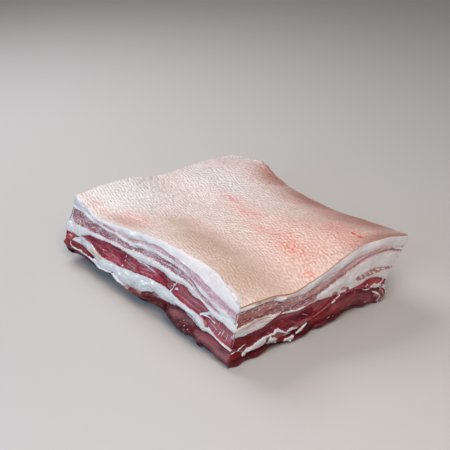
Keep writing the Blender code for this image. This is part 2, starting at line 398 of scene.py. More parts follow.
def rim_relief(plan, level, s, t):
    """How far the cut stands out, from knife waves, worn corners and the ragged lower edge."""
    x, y = plan.T / MM
    relief = CUT_WAVE * waves(x, y, level, CUT_WAVES) / 2
    for (side_x, side_y), cut in CORNER_CUTS.items():
        away = abs(s - (side_x + 1) / 2) + abs(t - (side_y + 1) / 2)
        relief -= cut * MM * np.exp(-((away / CORNER_REACH) ** 2))
    lowest = np.maximum(0.0, 1 - level)
    ragged = waves(x, y, 1.0, RAGGED_WAVES)
    undercut = patch(*four_edges(*UNDERCUT), s, t) * MM
    return relief + lowest**2 * (RAGGED_WAVE * ragged / 2 - undercut)


middle_height = rind_height(np.array([0.5]), np.array([0.5]))[0]
print("the rind is", round(middle_height / MM, 1), "mm above the floor in the middle")

# %% [markdown]
# ## Noise for flesh
# Lobules of fat, bundles of fibre and knife drag are all uneven lumps of a known size. One
# noise function makes them all: random values on a lattice, joined smoothly. Blender's own
# noise would do, but an array version shapes a million points in a second, and a seed keeps
# it the same each time.

# %% Lattice noise
# Large odd numbers scramble a lattice corner and a seed into a value of 16 bits.
SCRAMBLE_X, SCRAMBLE_Y, SCRAMBLE_Z = 73856093, 19349663, 83492791
SCRAMBLE_SEED, SCRAMBLE_AGAIN, LARGEST = 2654435, 1274126177, 0xFFFF


def noise(points, size, seed=0):
    """Smooth noise from -1 to 1 with lumps of this size. size is one number, or one per axis."""
    cell = points / np.asarray(size, float)
    low = np.floor(cell).astype(np.int64)
    part = cell - low
    part = part * part * (3 - 2 * part)
    total = np.zeros(len(points))
    for corner in product((0, 1), repeat=3):
        at = low + corner
        mixed = at[:, 0] * SCRAMBLE_X ^ at[:, 1] * SCRAMBLE_Y ^ at[:, 2] * SCRAMBLE_Z
        mixed = mixed ^ (seed + 1) * SCRAMBLE_SEED
        mixed = (mixed ^ mixed >> 13) * SCRAMBLE_AGAIN
        mixed = (mixed ^ mixed >> 16) & LARGEST
        weight = np.where(corner, part, 1 - part).prod(axis=1)
        total += weight * (mixed / (LARGEST / 2) - 1)
    return total


sample = noise(np.random.default_rng(1).random((2000, 3)), 0.1)
print("noise runs from", round(sample.min(), 2), "to", round(sample.max(), 2))

# %% [markdown]
# ## Fine relief
# Fat is soft and lumpy and swells a little out of the cut. Lean draws back and shows its
# bundles of fibre, which run along the layer, so its noise is long along the cut and short
# across it. The lowest lean was torn rather than cut and is the roughest. All of this is moved
# in the mesh itself, because such lumps show in the outline.

# %% Relief of the cut faces
# Lumps as (size along the cut, size across the layer, height), all in mm.
FAT_LUMPS = ((9, 5, 0.35), (3.2, 2.4, 0.16), (1.6, 1.4, 0.06))
LEAN_LUMPS = ((14, 4, 0.30), (7, 1.6, 0.16), (3, 1.1, 0.07))
TORN_LUMPS = ((12, 7, 0.9), (5, 3.5, 0.45), (2.4, 2.0, 0.16))


def is_lean(index):
    return "lean" in LAYERS[index].name or "muscle" in LAYERS[index].name


def cut_relief(index, bed, share):
    """How far a cut face stands out, in metres, from its own lumps. It is zero at its borders."""
    lumps = TORN_LUMPS if index == 0 else LEAN_LUMPS if is_lean(index) else FAT_LUMPS
    window = np.sin(math.pi * share) ** 0.5
    total = np.zeros(len(bed))
    for seed, (long_size, across_size, height) in enumerate(lumps):
        size = np.array((long_size, long_size, across_size)) * MM
        total += height * MM * noise(bed, size, seed + 7 * index)
    return total * window


print("lean:", [layer.name for index, layer in enumerate(LAYERS) if is_lean(index)])

# %% [markdown]
# ### Relief of the rind
# The rind was scalded and scraped, which leaves soft dents, a fine grain in wavy rows, torn nubs
# at the near corner and a crinkled flap at the back. A picture of real skin would repeat and
# could not be turned with the rows, so the grain is made of waves that cross and fade.

# %% Relief of the rind
RIND_DENTS = ((26, 0.40), (11, 0.20), (5, 0.08))  # size and depth in mm
ROW_ANGLE = 52  # degrees from X
ROW_RELIEF = 0.08 * MM
# The rows spread to the left of an x, to both sides of a y, and wave. All in mm.
SPREAD_X, SPREAD_Y, SPREAD_REACH, SPREAD = -10, -18, 28, 0.35
ROW_WAVES = ((1.5, 23, 31), (0.8, 9, -13))  # height, and reach along x and y
# Waves of the rind's grain: direction in degrees from X, pitch in mm, weight at the left end
# and weight over the rest.
RIDGE_WAVES = (
    (79, 3.1, 0.36, 0.26), (64, 2.8, 0.22, 0.20), (29, 3.0, 0.10, 0.14), (142, 4.6, 0.12, 0.26),
    (118, 4.2, 0.08, 0.24),
)
RIDGE_WANDER, RIDGE_WANDER_SIZE = 3.4, 7.0  # radians, and mm
RIDGE_PATCHES, RIDGE_PATCH_SIZE = 1.2, 4.0  # share, and mm
# The left end's weights fade out over this many mm, along this way from this far.
FADE_WAY, FADE_FROM, FADE_REACH = (0.62, 0.79), -75, 70
# Lumps as x, y, reach and height in mm: torn fat at the near corner, and a crinkled flap at
# the back edge.
RIND_NUBS = (
    (108, -84, 3.0, 2.2), (115, -82, 4.0, 2.8), (121, -86, 3.5, 1.8), (104, -88, 2.5, 1.2),
    (-79, 99, 3.0, 1.2), (-71, 100, 3.5, 1.6), (-63, 99, 3.5, 1.3), (-55, 98, 3.0, 1.0),
)
NUB_CRINKLE, NUB_CRINKLE_SIZE = 0.35, 1.6  # share, and mm
# Size and height in mm of crumbs on the fat that the torn skin leaves bare.
BARE_CRUMBS = ((4, 0.7), (2, 0.5))
# The skin's torn edge as share of the front cut and distance from it in mm.
TORN_EDGE = (
    (0.0, 0.3), (0.55, 0.5), (0.87, 0.8), (0.895, 2.5), (0.905, 7), (0.925, 6.5),
    (0.94, 10), (0.96, 9.5), (0.98, 6), (0.995, 3), (1.0, 1.5),
)
TORN_WAVER, TORN_WAVER_SIZE = 0.4 * MM, 3 * MM


def follicle_rows(points):
    """Distance along and across the rows of follicles, in metres."""
    x, y = points[:, 0] / MM, points[:, 1] / MM
    angle = math.radians(ROW_ANGLE)
    across = y * math.cos(angle) - x * math.sin(angle)
    spread = np.tanh((y - SPREAD_Y) / SPREAD_REACH)
    across = across + np.minimum(x - SPREAD_X, 0) * SPREAD * spread
    for height, reach_x, reach_y in ROW_WAVES:
        across = across + height * np.sin(x / reach_x + y / reach_y)
    onward = x * math.cos(angle) + y * math.sin(angle)
    return np.column_stack([onward, np.zeros(len(x)), across]) * MM


def row_height(points):
    """Fine wavy ridges of the rind, from about -1 to 1: sets of waves that cross and fade."""
    x, y = points[:, 0] / MM, points[:, 1] / MM
    faded = np.clip((x * FADE_WAY[0] + y * FADE_WAY[1] - FADE_FROM) / FADE_REACH, 0, 1)
    total = np.zeros(len(points))
    for seed, (direction, pitch, at_left, elsewhere) in enumerate(RIDGE_WAVES):
        angle = math.radians(direction)
        way = x * math.cos(angle) + y * math.sin(angle)
        wander = RIDGE_WANDER * noise(points, RIDGE_WANDER_SIZE * MM, 110 + seed)
        strength = 1 + RIDGE_PATCHES * noise(points, RIDGE_PATCH_SIZE * MM, 140 + seed)
        weight = blend(at_left, elsewhere, faded) * strength
        total += weight * np.sin(2 * math.pi * way / pitch + wander)
    return total


def rind_relief(points):
    total = ROW_RELIEF * row_height(points)
    for seed, (size, height) in enumerate(RIND_DENTS):
        total += height * MM * noise(points, size * MM, 90 + seed)
    x, y = points[:, 0] / MM, points[:, 1] / MM
    for centre_x, centre_y, reach, height in RIND_NUBS:
        away = ((x - centre_x) ** 2 + (y - centre_y) ** 2) / reach**2
        crinkle = 1 + NUB_CRINKLE * noise(points, NUB_CRINKLE_SIZE * MM, 97)
        total += height * MM * np.exp(-(away**2)) * crinkle
    return total


def skin_reach(s, t, points):
    """How far inside the skin's torn front edge a point lies, in metres."""
    torn = np.interp(s, *zip(*TORN_EDGE)) * MM + TORN_WAVER * noise(points, TORN_WAVER_SIZE, 98)
    return t * (slab_high.y - slab_low.y) - torn


print(len(RIDGE_WAVES), "waves in the grain,", len(RIND_NUBS), "nubs on the rind")

# %% [markdown]
# ## What the knife has laid bare
# No belly is striped evenly. Pockets of fat sit in the lean, threads cross it, seams run out,
# and torn scraps hang at the lower edge. Each of these is a trail along a cut with a width that
# changes, drawn over the layers one after another as with a brush. It says what tissue is there
# and how far it stands out, so the same trail gives the colour and the shape.

# %% Marks on the front cut
# Stains and painted light that marks lay over the tissue. Dark is mostly painted shade, in
# grooves, under overhangs and along the lower edges, and in a few places a deeper red of the
# lean. Pale is pale threads where it is thin, and painted sheen where it is laid in broad washes.
# A dent or a lump changes the shape alone.
STAINS_AND_PAINTED_LIGHT = {
    "Tan": (0.62, 0.40, 0.30, 1.0),
    "Silver": (0.46, 0.42, 0.50, 1.0),
    "Pale": (0.66, 0.42, 0.47, 1.0),
    "Dark": (0.030, 0.002, 0.004, 1.0),
    "Red": (0.40, 0.040, 0.035, 1.0),
}
# Kind, fullness (under 0.7 it breaks into flecks), how far it stands out in mm, and then one or
# more trails. Their points are mm along the cut, mm above the floor, and mm wide.
FRONT_MARKS = (
    # The left end: the pale oval has fat round it, and no muscle runs above it.
    ("fat", 1.0, 0.2,
        ((-123, 38, 7), (-121.5, 47, 5), (-121, 55, 8)), ((-118, 53.5, 3), (-113, 56, 3)),
        ((-118, 40, 3), (-113, 38, 2)),
    ),
    ("fat", 1.0, 0.1, (
        (-122, 56.5, 5), (-103, 56.5, 3.6), (-90, 55, 3.6), (-83, 54.5, 3.6), (-77, 54.6, 2),
    )),
    ("silver", 0.75, 0.0, ((-123, 60, 8), (-108, 59.4, 6), (-92, 57.4, 4))),
    # Under it a red end, a red strip, silverskin, and the main lean's thin tip.
    ("lean", 1.0, 0.0, ((-126, 22, 7), (-118, 24, 6), (-112, 25.5, 4))),
    ("lean", 0.9, 0.0, ((-114, 28.2, 2.6), (-104, 28.6, 2))),
    ("fat", 0.9, 0.5, ((-119, 25.2, 2.2), (-115.5, 24.8, 2.6))),
    ("fat", 0.8, 0.2, ((-109, 25.2, 2), (-101, 27, 3.6), (-98, 30, 4))),
    ("lean", 1.0, 0.0, ((-98, 32.8, 0.8), (-92, 33.2, 3), (-85, 34.6, 6))),
    ("fat", 1.0, 0.1, ((-100, 27.5, 5), (-92, 27.4, 7), (-84, 26.8, 7.4), (-79, 26.5, 7))),
    ("silver", 0.8, 0.0, ((-97, 28, 4), (-91, 27.3, 6), (-85, 27, 6.5))),
    ("fat", 1.0, 0.4, ((-83.5, 24.2, 3), (-80, 24, 3))),
    ("tan", 1.0, 0.4, ((-79, 26, 3), (-73, 25.6, 4.6), (-66, 25, 3.6), (-61, 24.4, 2))),
    ("lean", 1.0, 0.2, (
        (-117, 20, 6), (-108, 22.6, 3), (-96, 22, 3), (-86, 21.3, 2.6), (-76, 20.8, 2),
        (-65, 20.6, 0.8),
    )),
    ("red", 0.5, 0.0, ((-110, 22.4, 3), (-96, 22, 2.6), (-80, 21, 1.8))),
    # The lower edge: a blue-white film, with scraps of lean hanging from it.
    ("lean", 1.0, 0.3, ((-126, 14, 8), (-116, 15, 8), (-108, 16, 4))),
    ("red", 0.8, 0.0, ((-126, 12, 8), (-123, 20, 9), (-117, 24, 8), (-112, 25.5, 3))),
    ("fat", 0.66, 0.3, ((-113.5, 21.4, 1), (-107, 19.2, 1.4), (-102, 18, 1.8))),
    ("fat", 1.0, 0.5, (
        (-103, 17.8, 2), (-94, 18, 3.4), (-80, 17.4, 4), (-62, 17.6, 5), (-48, 18, 5),
    )),
    ("silver", 0.55, -0.4, (
        (-98, 17.8, 1.2), (-84, 17.3, 1.6), (-62, 16.8, 1.6), (-40, 17.8, 1.5),
    )),
    ("fat", 1.0, 0.3, ((-62, 15.6, 3), (-48, 15.6, 4), (-38, 15.6, 4), (-22, 16, 3))),
    ("lean", 1.0, 1.2, ((-72, 14.6, 1.6), (-66, 13.6, 3.6), (-60, 13.8, 3), (-50, 15, 1.6))),
    ("lean", 0.9, 0.8, ((-106, 15.4, 2.2), (-97, 15, 2.2))),
    ("red", 0.8, 0.0, ((-71, 14.4, 1.6), (-66, 13.8, 3), (-60, 14, 2.6), (-52, 15, 1.6))),
    ("tan", 0.9, 0.8, ((-33, 13.6, 2), (-26, 13, 3), (-16, 13.4, 2.6))),
    ("silver", 0.5, -0.3, ((-34, 16.5, 1), (-24, 14.8, 1.6), (-14, 15.5, 1))),
    ("lean", 0.95, 0.4, ((-13, 13.4, 2.6), (-3, 14, 5), (8, 15, 6))),
    ("tan", 0.8, 0.3, ((-13, 19.6, 3), (-6, 18.6, 4.6), (2, 18, 3))),
    # Soft lumps in the lower fat.
    ("lump", 1.0, 0.9, ((-14, 24, 4), (-5, 26, 5))),
    ("lump", 1.0, 1.0, ((4, 26, 4), (12, 30, 5))),
    ("lump", 1.0, 0.7, ((17, 27, 3), (21, 31, 3.5))),
    ("lump", 1.0, 0.6, ((-52, 23, 5), (-40, 23, 5)), ((-32, 20, 4), (-22, 19.5, 5))),
    # Threads, a pale pocket and cross seams in the main lean.
    ("pale", 0.7, 0.0, ((-69, 33.6, 0.4), (-64, 32.4, 0.9), (-57, 32.4, 0.4))),
    ("pale", 0.6, 0.0, ((-54, 31.2, 0.4), (-46, 32.6, 0.8), (-38, 32.4, 0.4))),
    ("pale", 0.55, 0.0, ((-61, 29.8, 0.4), (-54, 29, 0.8), (-50, 29.4, 0.3))),
    ("pale", 0.5, 0.0, ((-44, 29.4, 0.4), (-36, 30.6, 0.7))),
    ("pale", 0.45, 0.0, ((-57, 36.4, 0.4), (-49, 35, 0.8))),
    ("pale", 0.35, 0.0, ((-41, 38.8, 0.4), (-31, 39.8, 0.7))),
    ("pale", 0.75, 0.0, ((-24, 38, 0.4), (-17, 36.7, 0.9), (-10, 37.2, 0.4))),
    ("pale", 0.65, 0.0, ((-5, 37, 0.4), (3, 38.3, 0.8), (11, 39.5, 0.4))),
    ("pale", 0.85, 0.0, ((-26, 35, 0.5), (-18, 33.6, 1), (-9, 34, 0.5))),
    ("pale", 0.75, 0.0,
        ((-3, 34.4, 0.5), (6, 35.7, 1), (15, 37.3, 0.4)),
        ((-24, 31.4, 0.4), (-14, 31.4, 1), (-6, 33, 0.4)),
    ),
    ("fat", 0.64, 0.1,
        ((-65, 32.6, 0.6), (-60, 32, 0.9)), ((-14, 33.8, 0.7), (-8, 34, 1)),
        ((2, 35.2, 0.6), (7, 36, 0.9)),
    ),
    ("fat", 0.6, 0.1, ((-20, 31.4, 0.6), (-13, 31.8, 0.8))),
    ("fat", 0.8, 0.2, ((-26.8, 38.4, 0.8), (-25.4, 40, 1.2))),
    ("fat", 0.7, 0.1, ((-28.4, 33.6, 1), (-27.4, 35.2, 1.1))),
    ("fat", 0.85, 0.2, ((-31, 28.6, 1), (-29.4, 29.4, 1.3))),
    ("silver", 0.95, 0.1, (
        (-7, 42.3, 1.5), (0, 42.2, 3), (8, 42.2, 3.4), (14, 41.8, 2.6), (20, 40.8, 0.8),
    )),
    ("fat", 0.75, 0.2, ((-8, 42.6, 1.2), (4, 42.7, 2), (17, 41.4, 1.2))),
    ("fat", 1.0, 0.3, (
        (48.5, 46.5, 1.8), (47.6, 44, 0.8), (45, 41.6, 1.2), (43.8, 38.4, 0.6), (40.8, 34.5, 1.3),
    )),
    ("fat", 1.0, 0.2, ((46.5, 38.8, 1), (49.5, 40, 2.8))),
    ("pale", 0.9, 0.1,
        ((36, 42, 0.4), (45, 43, 0.9)), ((35.5, 39.2, 0.4), (42.5, 40, 0.9)),
        ((36, 36.8, 0.4), (41, 37.2, 0.8)),
    ),
    ("fat", 0.64, 0.1, ((38, 42.2, 0.6), (45, 43.2, 0.8)), ((37.5, 39.2, 0.6), (43, 40, 0.8))),
    # Painted sheen: broad pale washes over the main lean towards the corner.
    ("pale", 0.20, 0.0, ((54, 41, 7), (66, 38, 9), (82, 36.5, 7))),
    ("pale", 0.36, 0.0, ((93, 30, 6), (104, 28, 9), (118, 26, 10))),
    ("fat", 1.0, 0.1, ((64.5, 46, 3), (70, 44.8, 3.4), (80, 44, 3), (88, 42.5, 2.6))),
    ("pale", 0.6, 0.0, ((52, 36, 0.8), (66, 34, 1), (80, 33, 0.8))),
    ("pale", 0.5, 0.0, ((58, 40, 0.8), (72, 38.6, 1), (86, 37.4, 0.8))),
    ("fat", 1.0, 0.3,
        ((100, 38.6, 4), (93, 37.2, 3.4), (88, 34.4, 2), (81, 31, 1.6)),
        ((80, 28, 3), (82.5, 25, 5), (84.5, 21.5, 4)),
    ),
    ("lean", 0.8, 0.0, ((87, 26.5, 3), (90, 25, 4))),
    ("tan", 0.6, 0.0, ((85, 26, 3), (88, 25.4, 3))),
    ("fat", 0.8, 0.2, ((84, 31.5, 1), (92, 32.4, 1.1), (99, 31, 1.4))),
    ("fat", 0.66, 0.1, ((90, 29.6, 0.9), (102, 26.6, 0.9)), ((93, 34.2, 0.8), (99, 34.8, 0.9))),
    # Painted glints: small slanted white flecks on the wet fibres near the corner.
    ("fat", 0.8, 0.1,
        ((103.5, 21.5, 0.4), (106, 26, 0.9)), ((102.6, 29, 0.4), (104.6, 34, 0.4)),
        ((107.4, 23, 0.4), (109.8, 29, 0.9)), ((108.4, 31, 0.4), (110, 35, 0.4)),
        ((112, 21, 0.4), (114.4, 27.6, 0.9)), ((113.6, 30, 0.4), (115, 34, 0.4)),
        ((117, 22, 0.4), (119.4, 29, 0.9)), ((98.5, 22.6, 0.4), (100.6, 26.4, 0.4)),
        ((94.6, 23, 0.4), (96.4, 26, 0.4)),
    ),
    ("lean", 0.9, 0.0, ((82.5, 41.6, 1), (86.5, 41.8, 1))),
    # The upper lean splits in two strands and fades near the corner.
    ("fat", 0.7, 0.0, ((56, 54.5, 0.5), (66, 52, 0.8), (76, 48.2, 0.9), (86, 45.6, 0.8))),
    ("fat", 0.64, 0.0,
        ((-2, 54.6, 0.8), (10, 56, 1.2), (22, 56.4, 0.8)),
        ((26, 55, 0.8), (40, 55.4, 1.1), (52, 54.6, 0.8)),
    ),
    ("fat", 0.9, 0.5, ((-23, 51.6, 1.4), (-17, 52.4, 2.2), (-12, 52.6, 1))),
    ("fat", 0.62, 0.1, ((94, 45.2, 1.4), (101, 43.4, 2.6), (107, 42, 4.5))),
    ("pale", 0.4, 0.0, ((54, 56, 4), (66, 52.6, 4), (78, 48.4, 4), (90, 45.4, 4), (102, 43.4, 4))),
    ("pale", 0.35, 0.0, ((84, 54.6, 4), (100, 52.4, 5), (114, 49.4, 6), (126, 47, 6))),
    ("fat", 1.0, 0.1, ((107, 41.4, 4.6), (115, 40.4, 5.4), (126, 39.6, 5.4))),
    # The bottom lean starts with torn scraps. Painted shade darkens its notches, its foot and a
    # line under the fat, and a painted sheen lies over it in pale washes.
    ("dark", 0.8, -0.5, ((10, 17, 2), (20, 19.5, 3.4), (30, 19, 5), (38, 19, 3.4))),
    ("dark", 0.9, -0.8, ((12, 19.4, 1), (16.6, 22.6, 1.2), (19, 24.4, 0.8))),
    ("red", 0.5, 0.3, ((14, 15, 2), (24, 17, 1.6), (33, 18, 1.6))),
    ("dark", 0.9, -2.4, ((37.2, 20, 2), (38, 14, 2.6), (37.6, 9, 3))),
    ("dark", 0.8, 0.0, ((42, 9.4, 4), (54, 8.6, 5), (68, 8.6, 5), (80, 10.6, 4))),
    ("dark", 0.8, -2.4, ((87, 9, 1.6), (88, 4, 3))),
    ("pale", 0.18, 0.3, ((46, 20, 4), (58, 22.4, 5), (74, 20.8, 4))),
    ("dark", 0.5, -0.4, ((100, 18.4, 0.8), (108, 17.4, 1.2), (118, 15.4, 1))),
    ("pale", 0.22, 0.0, ((82, 15, 5), (96, 13, 8), (118, 10, 9))),
    ("lump", 1.0, 0.6, ((88, 12, 6), (98, 12, 7), (108, 9, 6))),
    ("pale", 0.5, 0.5, ((15, 23, 1), (22, 23.6, 1.4), (32, 24.6, 1.2))),
    ("fat", 0.7, 0.3, ((24.5, 19, 0.4), (26.6, 20.4, 0.7))),
    # The tongue has painted shade under the fat and at its foot, and small painted glints as
    # white flecks.
    ("dark", 0.8, -0.6, (
        (44, 21, 0.8), (50, 23.6, 1.2), (60, 25.8, 1.4), (72, 25.4, 1.4), (78, 22.6, 1.2),
        (83, 18.8, 0.8),
    )),
    ("dark", 0.5, 0.0, ((41, 13, 3), (48, 12, 4), (60, 11.6, 5), (74, 12, 4))),
    ("lump", 1.0, 0.8, ((50, 18, 7), (58, 20, 8), (68, 19, 7))),
    ("lump", 1.0, 0.5, ((44, 14, 4), (52, 12, 5)), ((62, 12.6, 5), (72, 13, 5))),
    ("fat", 0.9, 0.4,
        ((53.4, 19.4, 0.3), (54.6, 20.2, 0.6)), ((56.4, 20.6, 0.2), (57.2, 21.2, 0.4)),
        ((59, 19.2, 0.3), (60.2, 20, 0.5)), ((61.6, 20.6, 0.2), (62.4, 21.2, 0.5)),
        ((62.6, 18, 0.3), (64.2, 18.9, 0.7)), ((65.6, 19.8, 0.2), (66.8, 20.6, 0.5)),
        ((68, 16.6, 0.3), (69.2, 17.4, 0.5)), ((71.6, 14.6, 0.2), (72.6, 15.3, 0.5)),
    ),
    ("fat", 0.8, 0.4, ((49.6, 17, 0.2), (50.6, 17.6, 0.4)), ((74.4, 19.4, 0.2), (75.4, 20, 0.4))),
    ("fat", 0.8, 0.8, ((87.5, 5.5, 1), (89.5, 2.8, 2))),
)


def count_trails(marks):
    return sum(len(trails) for _, _, _, *trails in marks)


print(count_trails(FRONT_MARKS), "marks on the front cut")

# %% [markdown]
# ### The right cut
# The right cut is wetter and more ragged. One brownish band runs over it, a thin white seam
# wavers below, and at the far end a red piece is ringed with white. It is drawn in the same way,
# but from its own list, since a mark belongs to the cut that it was seen on.

